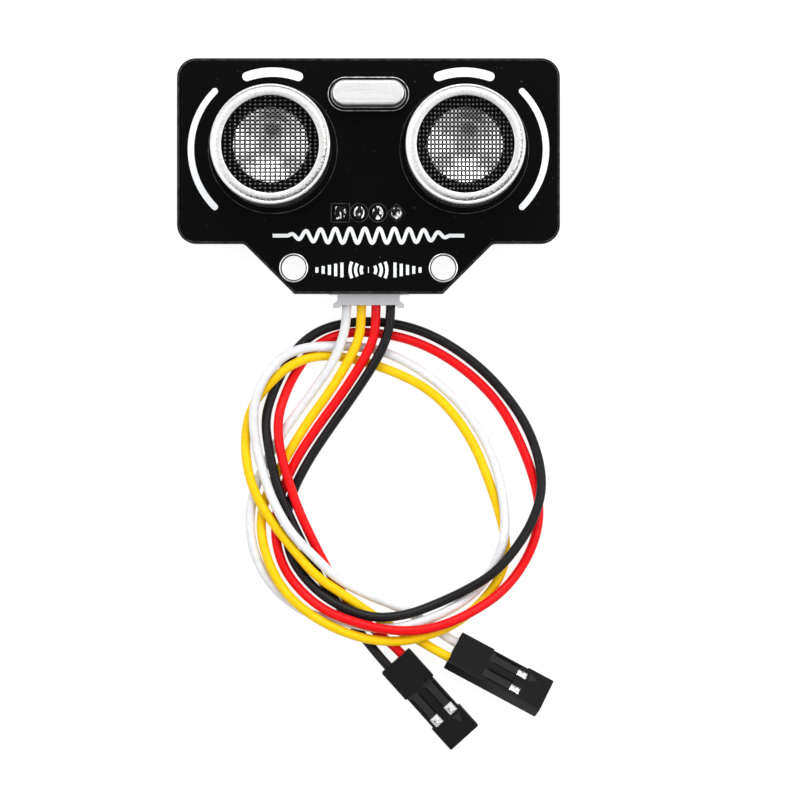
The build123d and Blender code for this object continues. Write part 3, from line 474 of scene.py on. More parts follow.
@functools.cache
def tin(name, dimming=0.0):
    """Tin plating, or with some dullness bare solder: bright, slightly uneven."""
    f = Finish(name)
    uneven = f.noise(0.4 * MM, 3)
    fine = f.noise(0.09 * MM, 3)
    return f.surface(
        base_color=f.blend(
            uneven, shade((0.94, 0.93, 0.92), 1 - dimming * 0.3), shade((0.7, 0.7, 0.69), 1 - dimming * 0.5)
        ),
        metallic=1.0,
        roughness=f.vary(fine, 0.2 + dimming * 0.15, 0.34 + dimming * 0.25),
        normal=f.bump(uneven * 0.7 + fine * 0.3, (0.02 + dimming * 0.08) * MM, 0.7),
    )


@functools.cache
def flux_dark_solder():
    """Solder in the test pads: crinkled, coloured near-black with bright patches, as a painted reflection with
    painted glints.
    """
    f = Finish("flux_dark_solder")
    crinkle = f.noise(0.35 * MM, 4, 0.6)
    clear = f.noise(0.5 * MM, 2, place=f.place((0.3 * MM, 0, 0), stretch=(1, 0.5, 1)))
    return f.surface(
        # Painted reflection: mostly near-black, with bright metallic patches as painted glints.
        base_color=f.blend(f.spread(clear, 0.53, 0.58), (0.006, 0.006, 0.006), (0.95, 0.95, 0.94)),
        metallic=f.spread(clear, 0.53, 0.58, 0.2, 1.0),
        specular_ior_level=0.1,
        roughness=f.vary(crinkle, 0.14, 0.34),
        normal=f.bump(crinkle, 0.14 * MM, 0.9),
    )


@functools.cache
def moulded(name, base, grain=0.12, rough=0.5, relief=0.012, specular=0.5):
    """Moulded plastic or epoxy: a fine spark-eroded grain and slight flow marks."""
    f = Finish(name)
    fine = f.noise(grain * MM, 3, 0.6)
    flow = f.noise(2.5 * MM, 3, place=f.place(stretch=(1, 0.4, 1)))
    return f.surface(
        base_color=f.blend(f.spread(flow, 0.3, 0.75), base, shade(base, 1.25)),
        roughness=f.spread(fine + flow * 0.3, 0.4, 0.9, rough - 0.08, rough + 0.1),
        specular_ior_level=specular,
        normal=f.bump(fine, relief * MM, 0.7),
    )


@functools.cache
def nylon():
    """Natural white nylon: slightly translucent."""
    f = Finish("nylon")
    cloud = f.noise(1.3 * MM, 3)
    fine = f.noise(0.1 * MM, 2)
    return f.surface(
        base_color=f.blend(cloud, (0.62, 0.62, 0.64), (0.52, 0.52, 0.54)),
        roughness=f.vary(fine, 0.34, 0.48),
        normal=f.bump(fine, 0.006 * MM, 0.6),
    )


@functools.cache
def ceramic(name, base):
    f = Finish(name)
    grain = f.noise(0.15 * MM, 4)
    return f.surface(
        base_color=f.blend(grain, base, shade(base, 0.8)),
        roughness=f.vary(grain, 0.45, 0.65),
        normal=f.bump(grain, 0.01 * MM, 0.7),
    )


@functools.cache
def insulation(name, base):
    """Extruded vinyl: faint die lines, scuffs, and small specks of dust."""
    f = Finish(name)
    scuff = f.noise(1.1 * MM, 4, 0.6)
    fine = f.noise(0.16 * MM, 2)
    dust = f.noise(0.3 * MM, 1) > 0.80
    tone = f.blend(f.spread(scuff, 0.35, 0.75), base, shade(base, 0.86))
    return f.surface(
        base_color=f.blend(dust * 0.35, tone, (0.5, 0.49, 0.47)),
        roughness=f.vary(scuff, 0.26, 0.38),
        specular_ior_level=0.16,
        normal=f.bump(fine, 0.008 * MM, 0.5),
    )


def paint(piece, *materials):
    piece.data.materials.clear()
    for material in materials:
        piece.data.materials.append(material)
    return piece


# ---------------------------------------------------------------- modelling
def fresh():
    """Back to object mode with nothing selected."""
    if bpy.context.object and bpy.context.object.mode != "OBJECT":
        bpy.ops.object.mode_set(mode="OBJECT")
    bpy.ops.object.select_all(action="DESELECT")


def take(piece):
    """Makes one piece the selected and active one."""
    fresh()
    piece.select_set(True)
    bpy.context.view_layer.objects.active = piece
    return piece


def link(piece):
    bpy.context.scene.collection.objects.link(piece)
    return piece


def newest(name):
    """Names the object that an operator has just added."""
    piece = bpy.context.object
    piece.name = piece.data.name = name
    return piece


def apply(piece, kind, **values):
    """Adds a modifier with these values and applies it."""
    take(piece)
    modifier = piece.modifiers.new(kind.lower(), kind)
    for key, value in values.items():
        setattr(modifier, key, value)
    bpy.ops.object.modifier_apply(modifier=modifier.name)
    return piece


def choose(piece, mode, test):
    """In edit mode, selects only the vertices, edges or faces for which test is true."""
    take(piece)
    bpy.ops.object.mode_set(mode="EDIT")
    bpy.ops.mesh.select_mode(type=mode)
    bpy.ops.mesh.select_all(action="DESELECT")
    bpy.ops.object.mode_set(mode="OBJECT")
    items = {"VERT": piece.data.vertices, "EDGE": piece.data.edges, "FACE": piece.data.polygons}[mode]
    for item in items:
        item.select = bool(test(item))
    bpy.ops.object.mode_set(mode="EDIT")


def settle(piece, smooth=35):
    """Puts a finished piece's place in its mesh, turns its faces out and smooths its gentle edges."""
    take(piece)
    bpy.ops.object.transform_apply(location=True, rotation=True, scale=True)
    bpy.ops.object.mode_set(mode="EDIT")
    bpy.ops.mesh.select_all(action="SELECT")
    bpy.ops.mesh.normals_make_consistent(inside=False)
    bpy.ops.object.mode_set(mode="OBJECT")
    bpy.ops.object.shade_smooth_by_angle(angle=radians(smooth))
    return apply(piece, "WEIGHTED_NORMAL", keep_sharp=True, weight=90)


def rounded(piece, width, segments=2, angle=40):
    """Rounds every edge sharper than angle."""
    return apply(
        piece, "BEVEL", width=width, segments=segments, limit_method="ANGLE", angle_limit=radians(angle),
        harden_normals=False, miter_outer="MITER_ARC", use_clamp_overlap=True,
    )


def joined(name, pieces):
    """Joins pieces into one."""
    take(pieces[0])
    for piece in pieces[1:]:
        piece.select_set(True)
    if len(pieces) > 1:
        bpy.ops.object.join()
    return newest(name)


def turned(name, x, y, profile, segments=96, closed=True):
    """Turns a profile of (radius, height) points about an upright axis at x, y.

    A radius of 0 ends it in a pole. A closed one is joined up from its last ring to its first."""
    fresh()
    radius, height = profile[0]
    bpy.ops.mesh.primitive_circle_add(vertices=segments, radius=radius, location=(x, y, height))
    piece = newest(name)
    bpy.ops.object.mode_set(mode="EDIT")
    for next_radius, next_height in profile[1:]:
        bpy.ops.mesh.extrude_edges_move(TRANSFORM_OT_translate={"value": (0, 0, next_height - height)})
        if next_radius == 0:
            bpy.ops.mesh.merge(type="CENTER")
        elif next_radius != radius:
            k = next_radius / radius
            bpy.ops.transform.resize(value=(k, k, 1), center_override=(x, y, next_height))
        radius, height = next_radius, next_height
    if closed:
        bpy.ops.mesh.select_all(action="DESELECT")
        bpy.ops.mesh.select_mode(type="EDGE")
        bpy.ops.mesh.select_non_manifold()
        bpy.ops.mesh.bridge_edge_loops()
    return settle(piece)


def block(name, centre, dims):
    """A box at its size and place."""
    fresh()
    bpy.ops.mesh.primitive_cube_add(size=1, location=centre, scale=dims)
    bpy.ops.object.transform_apply(location=True, rotation=True, scale=True)
    return newest(name)


def tube(name, kind, points, diameter, roundness):
    """A tube along points (x, y, z), with closed ends: a curve of this kind of spline."""
    curve = bpy.data.curves.new(name, "CURVE")
    curve.dimensions = "3D"
    spline = curve.splines.new(kind)
    spline.points.add(len(points) - 1)
    for point, place in zip(spline.points, points):
        point.co = (*place, 1)
    curve.bevel_depth = diameter / 2
    curve.bevel_resolution = roundness
    curve.use_fill_caps = True
    return link(bpy.data.objects.new(name, curve))


def copy_of(node, name, split=True):
    """A copy of a CAD piece with its triangles joined into whole faces, split where they turn inwards."""
    piece = link(bpy.data.objects.new(name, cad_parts[node].data.copy()))
    piece.data.name = name
    take(piece)
    bpy.ops.object.mode_set(mode="EDIT")
    bpy.ops.mesh.select_all(action="SELECT")
    bpy.ops.mesh.remove_doubles(threshold=0.000002)
    bpy.ops.mesh.dissolve_limited(angle_limit=radians(0.5))
    if split:
        bpy.ops.mesh.vert_connect_concave()
    bpy.ops.object.mode_set(mode="OBJECT")
    return piece


def stand_for(piece, slot, *nodes, body="sensor_board"):
    """Puts a piece on its body in place of the CAD pieces that it shows."""
    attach(piece, body)
    if nodes:
        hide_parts(*nodes)
    return piece


def softened(node, name, slot, width, *materials, body="sensor_board"):
    """A CAD piece with its edges rounded, in its finish."""
    piece = settle(rounded(copy_of(node, name), width))
    paint(piece, *materials)
    return stand_for(piece, slot, node, body=body)


def centre_of(node):
    low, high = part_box(node)
    return tuple((a + b) / 2 for a, b in zip(low, high))


# ---------------------------------------------------------------- camera and wires
class SENSOR_OT_camera(bpy.types.Operator):
    """Hang the camera over the sensor"""

    bl_idname = "sensor.camera"
    bl_label = "Camera"

    def execute(self, context):
        own = settings("stage")
        fresh()
        place = (own.camera_x, -own.camera_down, own.camera_height)
        bpy.ops.object.camera_add(location=place, rotation=(0, 0, 0))
        camera = context.object
        camera.name = "camera"
        camera.data.lens = own.lens
        camera.data.clip_start = 0.02
        camera.data.clip_end = 20
        context.scene.camera = camera
        return {"FINISHED"}


class SENSOR_OT_wires(bpy.types.Operator):
    """Lay the four wires along their routes"""

    bl_idname = "sensor.wires"
    bl_label = "Wires"

    def execute(self, context):
        own = settings("wires")
        for node, route in ROUTES.items():
            hue = node.split("_")[1]
            points = [[c * MM for c in place] for place in route]
            lead = tube(hue + "_lead", "NURBS", points, own.diameter, 5)
            spline = lead.data.splines[0]
            spline.order_u = 3
            spline.use_endpoint_u = True
            spline.resolution_u = 10
            paint(lead, insulation(hue + "_insulation", tuple(getattr(own, hue))))
            stand_for(lead, hue + "_insulation", node, body="cable")
        return {"FINISHED"}


# ---------------------------------------------------------------- board
class SENSOR_OT_board(bpy.types.Operator):
    """Round the board's edges and raise the coating over its copper layer"""

    bl_idname = "sensor.board"
    bl_label = "Board"

    def execute(self, context):
        own = settings("board")
        board = copy_of("circuit_board", "board", split=False)
        for level, up in ((FRONT_Z, 1), (BACK_Z, -1)):
            choose(board, "FACE", lambda face: face.normal.z * up > 0.9)
            bpy.ops.mesh.inset(thickness=own.pour_inset, depth=0, use_even_offset=True)
            bpy.ops.mesh.inset(thickness=own.pour_step * 3, depth=own.pour_step, use_even_offset=True)
            bpy.ops.object.mode_set(mode="OBJECT")
        settle(rounded(board, own.edge_round, 2, 60), 12)
        paint(board, solder_mask(), laminate(), thin_mask())
        middle = (FRONT_Z + BACK_Z) / 2
        for face in board.data.polygons:
            tilt = abs(face.normal.z)
            if tilt < 0.3 and abs(face.center.z - middle) < 0.4 * (FRONT_Z - BACK_Z):
                face.material_index = 1
            # Partly painted highlight: the sloped rim of the raised coating gets the lighter thin coating.
            elif 0.9 < tilt < 0.99:
                face.material_index = 2
        stand_for(board, "solder_mask", "circuit_board")
        self.pour_gaps(own)
        return {"FINISHED"}

    def pour_gaps(self, own):
        """The rims of the gaps that the copper layer leaves round the cans and the pads."""
        rims = []
        for ear in EARS:
            x, y, _ = centre_of(ear + "_can")
            rims.append(self.rim(x, y, own.can_gap, 120))
        for (x, y), turn in zip(pad_places(), PAD_TURNS):
            rims.append(self.rim(x, y, PAD_GAP, 48 if turn is None else 4, turn))
        # The rims are in the lighter thin coating, partly a painted highlight.
        stand_for(paint(joined("pour_rims", rims), thin_mask()), "solder_mask")

    def rim(self, x, y, inner, corners, turn=None):
        """A low ridge round a gap: round, or with four corners square."""
        own = settings("board")
        outer, high = inner + 0.1 * MM, FRONT_Z + own.pour_step + 0.012 * MM
        slope = 0.03 * MM
        profile = [(inner, FRONT_Z), (outer, FRONT_Z), (outer - slope, high), (inner + slope, high)]
        ridge = turned("rim", 0, 0, profile, corners)
        grow = 2 ** 0.5 if turn else 1
        ridge.data.transform(
            Matrix.Translation((x, y, 0)) @ Matrix.Rotation(radians(turn or 0), 4, "Z")
            @ Matrix.Diagonal((grow, grow, 1, 1))
        )
        return settle(ridge)


def pad_places():
    """The middles of the four test pads, from left to right."""
    low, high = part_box("pad_solder")
    half, y = (high[1] - low[1]) / 2, (high[1] + low[1]) / 2
    first, last = low[0] + half, high[0] - half
    return [(first + (last - first) * i / 3, y) for i in range(4)]


def ribbon(name, points, width, height, thick):
    """A printed line through points (x, y): a flat strip of ink with round ends."""
    take(tube(name, "POLY", [(x, y, height) for x, y in points], width, 3))
    bpy.ops.object.convert(target="MESH")
    flat = newest(name)
    for vertex in flat.data.vertices:
        vertex.co.z = height + (vertex.co.z - height) * thick / width
    return settle(flat)


def arc(x, y, radius, middle, half, steps=24):
    """Points along an arc about x, y, its middle and half angle in degrees."""
    angles = [radians(middle + half * (2 * i / steps - 1)) for i in range(steps + 1)]
    return [(x + radius * cos(a), y + radius * sin(a)) for a in angles]


class SENSOR_OT_printing(bpy.types.Operator):
    """Print the arcs beside the transducers and the pulse and echo signs"""

    bl_idname = "sensor.printing"
    bl_label = "Printing"

    def execute(self, context):
        own = settings("board")
        level = FRONT_Z + own.pour_step
        thick = 0.03 * MM
        arcs = settle(rounded(copy_of("front_printing", "printed_arcs"), 0.008 * MM, 1))
        paint(arcs, white_ink())
        stand_for(arcs, "white_ink", "front_printing")
        strokes = []
        # A burst of sound: a wave that swells and dies away between two rests.
        half, rise, waves = 13.0 * MM, 1.0 * MM, 13
        y = LOWER_EDGE_Y + 7.9 * MM
        steps = 260
        burst = []
        for i in range(steps + 1):
            t = 2 * i / steps - 1
            swell = max(0.0, 1 - (abs(t) / 0.86) ** 4)
            burst.append((t * half, y + rise * swell * sin(waves * pi * (t + 1))))
        strokes.append(ribbon("burst", burst, own.line * 1.2, level, thick))
        # An echo sign: a dot between widening arcs, with a row of ticks on each side.
        y = LOWER_EDGE_Y + 3.25 * MM
        strokes.append(ribbon("dot", [(-0.05 * MM, y), (0.05 * MM, y)], 0.8 * MM, level, thick))
        for i, radius in enumerate((1.0, 1.75, 2.5)):
            for side in (0, 180):
                points = arc(0, y, radius * MM, side, 34 - 4 * i, 12)
                strokes.append(ribbon("echo", points, own.line, level, thick))
        for i in range(5):
            for side in (-1, 1):
                x = side * (3.6 + 0.85 * i) * MM
                tall = (1.0 - 0.16 * i) * MM
                strokes.append(ribbon("tick", [(x, y - tall), (x, y + tall)], own.line, level, thick))
        signs = joined("printed_signs", strokes)
        paint(signs, white_ink())
        stand_for(signs, "white_ink")
        return {"FINISHED"}


class SENSOR_OT_rings_and_pads(bpy.types.Operator):
    """Line the mounting holes and fill the test pads with solder"""

    bl_idname = "sensor.rings_and_pads"
    bl_label = "Hole Rings and Pads"

    def execute(self, context):
        low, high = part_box("mounting_rings")
        outer = (high[1] - low[1]) / 2
        inner = 1.65 * MM
        y = (low[1] + high[1]) / 2
        lift = settings("board").pour_step + 0.01 * MM
        top, under = high[2] + lift, low[2] - lift
        wall = inner + 0.05 * MM
        centres = (low[0] + outer, high[0] - outer)
        # How far in from the lining, and how far down from its top, in millimetres.
        crown = [(0.0, 0.3), (0.03, 0.14), (0.11, 0.06), (0.15, 0.0), (0.2, 0.0), (0.26, 0.02)]
        rings = []
        for x in centres:
            profile = [(wall, BACK_Z + 0.1 * MM), (outer, BACK_Z)]
            profile += [(inner + step * MM, under + drop * MM) for step, drop in reversed(crown)]
            profile += [(inner + step * MM, top - drop * MM) for step, drop in crown]
            profile += [(outer, FRONT_Z), (wall, FRONT_Z - 0.1 * MM)]
            rings.append(turned("ring", x, y, profile, 72))
        linings = paint(joined("hole_linings", rings), tin("ring_tin"), dark_flange())
        # Painted shade: the wall of each hole and the inner edge of its crown get the black finish.
        for face in linings.data.polygons:
            reach = min(hypot(face.center.x - x, face.center.y - y) for x in centres)
            face.material_index = int(reach < inner + 0.17 * MM)
        stand_for(linings, "tinned_copper", "mounting_rings")
        lands = []
        for (x, y), turn in zip(pad_places(), PAD_TURNS):
            fresh()
            bpy.ops.mesh.primitive_cylinder_add(
                vertices=40 if turn is None else 4, radius=(0.95 if turn else 0.72) * MM, depth=0.2 * MM,
                location=(x, y, FRONT_Z), rotation=(0, 0, radians(turn or 0)),
            )
            land = newest("land")
            bpy.ops.object.transform_apply(location=True, rotation=True, scale=True)
            choose(land, "VERT", lambda vertex: True)
            bpy.ops.transform.resize(value=(1, 1.3, 1), center_override=(x, y, FRONT_Z))
            bpy.ops.object.mode_set(mode="OBJECT")
            lands.append(settle(rounded(land, 0.06 * MM)))
        # The lands and the pad solder carry the painted reflection and glints.
        stand_for(paint(joined("test_lands", lands), flux_dark_solder()), "solder")
        paint(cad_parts["pad_solder"], flux_dark_solder())
        return {"FINISHED"}


# ---------------------------------------------------------------- transducers
def weave(name, x, y, z, radius, cell, wire):
    """Wire cloth in a disc: every wire goes over one cross wire and under the next."""
    sets = []
    for turn in (0, 1):
        along, across = cell if turn == 0 else cell[::-1]
        fresh()
        bpy.ops.mesh.primitive_cylinder_add(
            vertices=6, radius=wire / 2, depth=2 * along, end_fill_type="NOTHING", rotation=(0, pi / 2, 0)
        )
        strand = newest("strand")
        bpy.ops.object.transform_apply(location=True, rotation=True, scale=True)
        choose(strand, "EDGE", lambda edge: abs(span(strand, edge).x) > along)
        bpy.ops.mesh.subdivide(number_cuts=7)
        bpy.ops.object.mode_set(mode="OBJECT")
        second = link(strand.copy())
        second.data = strand.data.copy()
        for piece, phase, shift in ((strand, 0, 0), (second, 1, across)):
            for vertex in piece.data.vertices:
                lift = cos(pi * (vertex.co.x / along + phase + turn)) * wire / 2
                vertex.co += Vector((0, shift, lift))
        strands = joined("strands", [strand, second])
        periods, rows = int(radius / along) + 2, int(radius / across) + 2
        apply(strands, "ARRAY", count=periods, use_relative_offset=False, use_constant_offset=True,
              constant_offset_displace=(2 * along, 0, 0), use_merge_vertices=True,
              merge_threshold=wire / 20)
        apply(strands, "ARRAY", count=rows, use_relative_offset=False, use_constant_offset=True,
              constant_offset_displace=(0, 2 * across, 0))
        back = Matrix.Translation((-(periods // 2) * 2 * along, -(rows // 2) * 2 * across, 0))
        strands.data.transform(Matrix.Rotation(turn * pi / 2, 4, "Z") @ back)
        sets.append(strands)
    cloth = joined(name, sets)
    choose(cloth, "VERT", lambda vertex: hypot(vertex.co.x, vertex.co.y) > radius)
    bpy.ops.mesh.delete(type="VERT")
    bpy.ops.mesh.select_all(action="SELECT")
    bpy.ops.mesh.fill_holes(sides=6)
    bpy.ops.object.mode_set(mode="OBJECT")
    cloth.location = (x, y, z)
    return settle(cloth, 70)


def span(piece, edge):
    first, second = (piece.data.vertices[i].co for i in edge.vertices)
    return second - first


class SENSOR_OT_transducers(bpy.types.Operator):
    """Make the cans, the woven mesh and the cones, and finish what is inside"""

    bl_idname = "sensor.transducers"
    bl_label = "Transducers"

    def execute(self, context):
        for ear in EARS:
            x, y, _ = centre_of(ear + "_can")
            self.can_and_mesh(ear, x, y)
            self.cone(ear, x, y)
            softened(ear + "_base", ear + "_foot", "black_base_plastic", 0.08 * MM,
                     moulded("black_base", (0.004, 0.004, 0.004), specular=0.15))
            paint(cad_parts[ear + "_piezo"], ceramic("piezo_ceramic", (0.62, 0.58, 0.5)))
            paint(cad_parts[ear + "_pins"], tin("pin_tin"))
        return {"FINISHED"}

    def can_and_mesh(self, ear, x, y):
        """The drawn can with its rolled rim, and the wire cloth inside its mouth."""
        own = settings("transducers")
        low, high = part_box(ear + "_can")
        outer, bottom, top = (high[0] - low[0]) / 2, low[2], high[2]
        mouth, wall = outer - 1.5 * MM, 0.5 * MM
        lip, bead = 0.9 * MM, 0.17 * MM
        groove, waist = outer - 0.46 * MM, outer - 0.07 * MM
        profile = [
            (outer - wall, bottom), (outer - 0.08 * MM, bottom), (outer, bottom + 0.1 * MM),
            (outer, bottom + 0.9 * MM), (waist, bottom + 1.0 * MM),
            (waist, bottom + 1.15 * MM), (outer, bottom + 1.25 * MM),
        ]
        profile += [
            (outer - bead + bead * cos(radians(a)), top - 0.04 * MM - bead + bead * sin(radians(a)))
            for a in (0, 20, 40, 60, 80, 100)
        ]
        profile += [
            (groove + 0.09 * MM, top - 0.10 * MM), (groove, top - 0.115 * MM),
            (groove - 0.12 * MM, top - 0.07 * MM), (groove - 0.26 * MM, top - 0.015 * MM),
            (groove - 0.42 * MM, top), (mouth + 0.16 * MM, top),
            (mouth + 0.06 * MM, top - 0.03 * MM), (mouth + 0.01 * MM, top - 0.1 * MM),
            (mouth, top - 0.25 * MM), (mouth, top - lip + 0.05 * MM),
            (mouth + 0.06 * MM, top - lip), (outer - wall, top - lip),
        ]
        can = turned(ear + "_shell", x, y, profile, 128)
        paint(can, drawn_metal(x, y, groove), can_wall())
        for face in can.data.polygons:
            face.material_index = int(abs(face.normal.z) < 0.35)
        stand_for(can, "drawn_aluminium", ear + "_can")

        level = top - lip
        cloth = weave(ear + "_mesh", x, y, level - own.wire, mouth + 0.5 * MM, MESH_CELLS[ear], own.wire)
        # The mesh's colour carries painted highlights on its crowns.
        paint(cloth, mesh_wire(level, own.wire))
        # Light passes the mesh as if it weren't there, so that the cone behind it stays bright.
        cloth.visible_shadow = cloth.visible_diffuse = cloth.visible_glossy = False
        stand_for(cloth, "woven_wire", ear + "_grille")

    def cone(self, ear, x, y):
        """The bright horn: a flared edge, a narrow ledge and a shallow bowl."""
        low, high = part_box(ear + "_cone")
        edge, mouth_z = (high[0] - low[0]) / 2, high[2]
        bowl, sag, skin = 3.6 * MM, 0.8 * MM, 0.16 * MM
        ledge = mouth_z - 0.45 * MM
        rim_z, flare = ledge - 0.16 * MM, edge - 0.3 * MM - bowl
        inside = [(edge, mouth_z), (edge - 0.1 * MM, mouth_z + 0.05 * MM), (edge - 0.25 * MM, mouth_z)]
        inside += [(bowl + flare * k, ledge + 0.4 * MM * k) for k in (0.8, 0.4, 0.08, 0)]
        inside += [(bowl - 0.07 * MM, ledge - 0.14 * MM), (bowl - 0.14 * MM, rim_z)]
        inside += [(bowl * k, rim_z - sag * (1 - k * k)) for k in (0.9, 0.78, 0.65, 0.5, 0.34, 0.18)]
        inside += [(0, rim_z - sag)]
        horn = turned(ear + "_horn", x, y, inside, 96, closed=False)
        apply(horn, "SOLIDIFY", thickness=skin, offset=-1)
        paint(settle(horn), spun_metal(x, y))
        stand_for(horn, "bright_cone", ear + "_cone")


# ---------------------------------------------------------------- crystal and the parts on the back
class SENSOR_OT_crystal(bpy.types.Operator):
    """Finish the crystal's can and seal ring"""

    bl_idname = "sensor.crystal"
    bl_label = "Crystal"

    def execute(self, context):
        can = settle(copy_of("crystal_can", "crystal_case"), 50)
        # Painted shade: the can's sides and rounded edge get a darker copy of the plating.
        paint(can, plated_case("plated_case", 1.0), plated_case("plated_side", 0.68))
        for face in can.data.polygons:
            face.material_index = int(face.normal.z < 0.8)
        stand_for(can, "nickel_case", "crystal_can")
        softened("crystal_base", "crystal_flange", "dark_flange", 0.06 * MM, dark_flange())
        low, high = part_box("crystal_base")
        inner_low, inner_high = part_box("crystal_can")
        level = high[2]
        # Painted highlights: light strips along the seal ring's outer edge and along its inner edge by the can.
        beads = []
        for lo, hi, out in ((low, high, -0.06 * MM), (inner_low, inner_high, 0.10 * MM)):
            radius = (hi[1] - lo[1]) / 2 + out
            reach, y = (hi[0] - lo[0]) / 2 + out - radius, (hi[1] + lo[1]) / 2
            loop = arc(reach, y, radius, 0, 90, 16) + arc(-reach, y, radius, 180, 90, 16)
            loop.append((reach, y - radius))
            beads.append(ribbon("bead", loop, 0.10 * MM, level, 0.08 * MM))
        stand_for(paint(joined("flange_beads", beads), bead_shine()), "dark_flange")
        paint(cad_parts["crystal_pins"], tin("pin_tin"))
        return {"FINISHED"}


class SENSOR_OT_back_parts(bpy.types.Operator):
    """Finish the chips and small parts on the board's back"""

    bl_idname = "sensor.back_parts"
    bl_label = "Back Parts"

    def execute(self, context):
        epoxy = moulded("chip_epoxy", (0.012, 0.012, 0.013), 0.1, 0.52, 0.014)
        for chip in ("controller_chip", "amplifier_chip", "driver_chip"):
            softened(chip, chip + "_body", "moulded_epoxy", 0.05 * MM, epoxy)
        softened("chip_legs", "chip_leads", "tinned_copper", 0.03 * MM, tin("leg_tin"))
        softened("chip_resistors", "resistor_bodies", "resistor_coat", 0.03 * MM,
                 moulded("resistor_coat", (0.01, 0.01, 0.011), 0.2, 0.3, 0.005))
        softened("chip_capacitors", "capacitor_bodies", "capacitor_ceramic", 0.05 * MM,
                 ceramic("capacitor_ceramic", (0.36, 0.24, 0.13)))
        softened("solder_ends", "soldered_ends", "solder", 0.06 * MM, tin("end_tin", 0.5))
        paint(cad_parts["pin_solder"], tin("joint_tin", 0.6))
        return {"FINISHED"}


# ---------------------------------------------------------------- header, plug and sockets
class SENSOR_OT_header_and_plug(bpy.types.Operator):
    """Finish the header under the board and the plug in it"""

    bl_idname = "sensor.header_and_plug"
    bl_label = "Header and Plug"

    def execute(self, context):
        softened("cable_header", "header_shroud", "white_nylon", 0.07 * MM, nylon())
        softened("header_pins", "header_pin_row", "tinned_copper", 0.05 * MM, tin("pin_tin"))
        softened("header_tabs", "header_anchors", "tinned_copper", 0.04 * MM, tin("pin_tin"))
        softened("plug_housing", "plug_body", "white_nylon", 0.06 * MM, nylon(), body="cable")
        softened("plug_contacts", "plug_crimps", "tinned_copper", 0.05 * MM, tin("pin_tin"), body="cable")
        return {"FINISHED"}


class SENSOR_OT_sockets(bpy.types.Operator):
    """Finish the socket housings and their contacts"""

    bl_idname = "sensor.sockets"
    bl_label = "Sockets"

    def execute(self, context):
        black = moulded("socket_plastic", (0.0035, 0.0035, 0.0037), 0.16, 0.5, 0.02, 0.12)
        worn = moulded("tongue_plastic", (0.006, 0.006, 0.0065), 0.05, 0.6, 0.04, 0.3)
        for end, seat in self.seats().items():
            shell = softened(end + "_socket_housing", end + "_socket_shell", "black_socket_plastic",
                             0.05 * MM, black, worn, body="cable")
            inward = seat.inverted()
            for face in shell.data.polygons:
                x, y, z = inward @ face.center
                on_tongue = TONGUE_X[0] < x < TONGUE_X[1] and TONGUE_Z[0] < z < TONGUE_Z[1]
                face.material_index = int(on_tongue)
            crimps = settle(rounded(copy_of(end + "_socket_contacts", "crimps"), 0.06 * MM))
            crimps = joined(end + "_socket_springs", [crimps] + self.lances(seat))
            paint(crimps, tin("spring_tin"))
            stand_for(crimps, "tinned_copper", end + "_socket_contacts", body="cable")
        for node, length in WIRE_LENGTHS.items():
            settings("wires").diameter
        return {"FINISHED"}

    def seats(self):
        """Where each socket housing lies: the middle of its rear face, its turn and its roll."""
        return {
            "signal": Matrix.Translation(Vector((11.53, -63.61, 2.37)) * MM)
            @ Matrix.Rotation(radians(-28.2), 4, "Z") @ Matrix.Rotation(radians(-30), 4, "X"),
            "power": Matrix.Translation(Vector((3.63, -65.09, 1.27)) * MM)
            @ Matrix.Rotation(radians(-48), 4, "Z"),
        }

    def lances(self, seat):
        """The sprung tongues of the two contacts, which show in the housing's windows."""
        parts = []
        for pole in (-POLE, POLE):
            for start, end, side, width, low, high in LANCES:
                centre = [(start + end) / 2 * MM, (pole + side) * MM, (low + high) / 2 * MM]
                part = block("lance", centre, [(end - start) * MM, width * MM, (high - low) * MM])
                rounded(part, 0.06 * MM)
                part.data.transform(seat)
                parts.append(settle(part))
        return parts


# ---------------------------------------------------------------- stage
def softbox(name, place, aim, width, depth, power):
    fresh()
    bpy.ops.object.light_add(type="AREA", location=place)
    light = bpy.context.object
    light.name = name
    light.data.shape = "RECTANGLE"
    light.data.size = width
    light.data.size_y = depth
    light.data.energy = power
    light.rotation_euler = (Vector(aim) - Vector(place)).to_track_quat("-Z", "Y").to_euler()


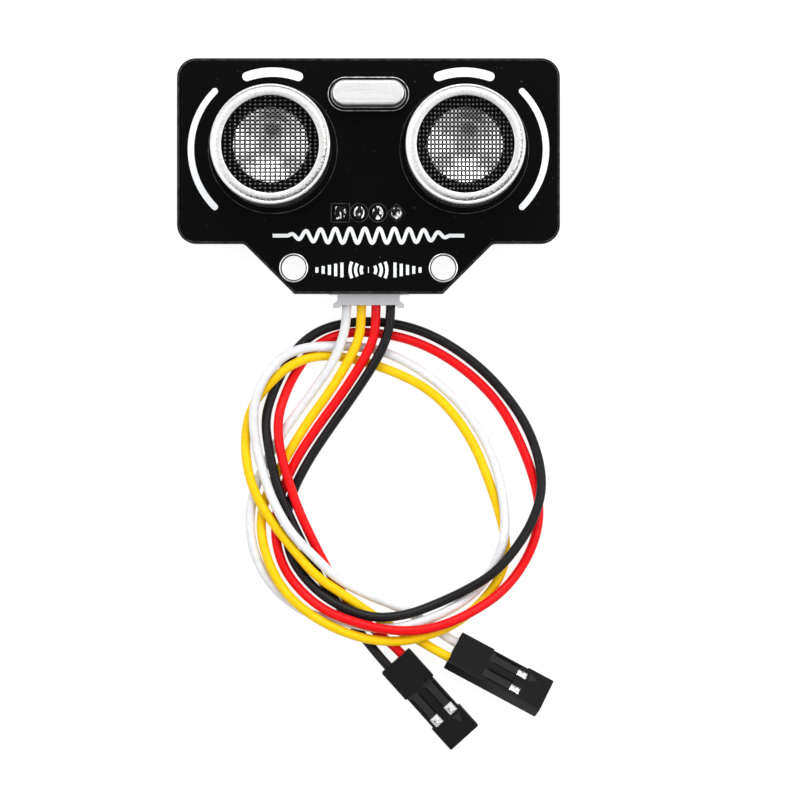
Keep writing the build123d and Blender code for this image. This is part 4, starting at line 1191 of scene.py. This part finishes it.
class SENSOR_OT_stage(bpy.types.Operator):
    """Lay the pale floor and set the soft lights"""

    bl_idname = "sensor.stage"
    bl_label = "Stage"

    def execute(self, context):
        own = settings("stage")
        fresh()
        bpy.ops.mesh.primitive_plane_add(size=6, location=(0, 0, -0.05 * MM))
        floor = newest("floor")
        f = Finish("floor_paint")
        paint(floor, f.surface(
            base_color=(0.2, 0.2, 0.2), roughness=0.9, specular_ior_level=0.0,
            emission_color=(1, 1, 1), emission_strength=0.88,
        ))
        aim = (0.005, -0.03, 0)
        softbox("key_light", (0.02, 0.42, 0.46), aim, 0.5, 0.34, own.key)
        softbox("right_light", (0.42, 0.02, 0.42), aim, 0.3, 0.5, own.key * 0.45)
        softbox("left_light", (-0.42, 0.05, 0.42), aim, 0.3, 0.5, own.key * 0.25)
        world = bpy.data.worlds.new("studio")
        world.use_nodes = True
        context.scene.world = world
        sky = Nodes(world.node_tree)
        way = sky.node("TexCoord", output="Generated")
        height = sky.node("SeparateXYZ", None, {0: way}, output="Z")
        # A bright ceiling over darker walls, with a dark opening a little in front of the sensor.
        ceiling = sky.spread(height, 0.1, 0.5, own.walls, own.ceiling)
        front = Vector((-0.1, -0.47, 0.88)).normalized()
        product = {"operation": "DOT_PRODUCT"}
        nearness = sky.node("VectorMath", product, {0: way, 1: front}, output="Value")
        opening = sky.spread(nearness, cos(radians(20)), cos(radians(12)))
        sky.fill(world.node_tree.nodes["Background"].inputs["Strength"], ceiling * (1 - opening * 0.93))
        world.node_tree.nodes["Background"].inputs["Color"].default_value = (1, 1, 1, 1)
        context.scene.view_settings.view_transform = "Standard"
        return {"FINISHED"}


# ---------------------------------------------------------------- panel and registration
STEPS = (
    SENSOR_OT_camera, SENSOR_OT_wires, SENSOR_OT_board, SENSOR_OT_printing, SENSOR_OT_rings_and_pads,
    SENSOR_OT_transducers, SENSOR_OT_crystal, SENSOR_OT_back_parts, SENSOR_OT_header_and_plug,
    SENSOR_OT_sockets, SENSOR_OT_stage,
)
GROUPS = {
    "wires": WireSettings, "board": BoardSettings, "transducers": TransducerSettings,
    "stage": StageSettings,
}


class SENSOR_PT_panel(bpy.types.Panel):
    """Lists the steps that make the sensor"""

    bl_idname = "SENSOR_PT_panel"
    bl_label = "Distance Sensor"
    bl_space_type = "VIEW_3D"
    bl_region_type = "UI"
    bl_category = "Sensor"

    def draw(self, context):
        for group, kind in GROUPS.items():
            column = self.layout.column(heading=group.capitalize())
            for name in kind.__annotations__:
                column.prop(getattr(context.scene, "sensor_" + group), name)
        for step in STEPS:
            self.layout.operator(step.bl_idname)


def register():
    for kind in (*GROUPS.values(), *STEPS, SENSOR_PT_panel):
        bpy.utils.register_class(kind)
    for group, kind in GROUPS.items():
        setattr(bpy.types.Scene, "sensor_" + group, PointerProperty(type=kind))


def unregister():
    for group in GROUPS:
        delattr(bpy.types.Scene, "sensor_" + group)
    for kind in reversed((*GROUPS.values(), *STEPS, SENSOR_PT_panel)):
        bpy.utils.unregister_class(kind)


def main():
    register()
    for step in STEPS:
        getattr(bpy.ops.sensor, step.bl_idname.split(".")[1])()


if __name__ == "__main__":
    main()
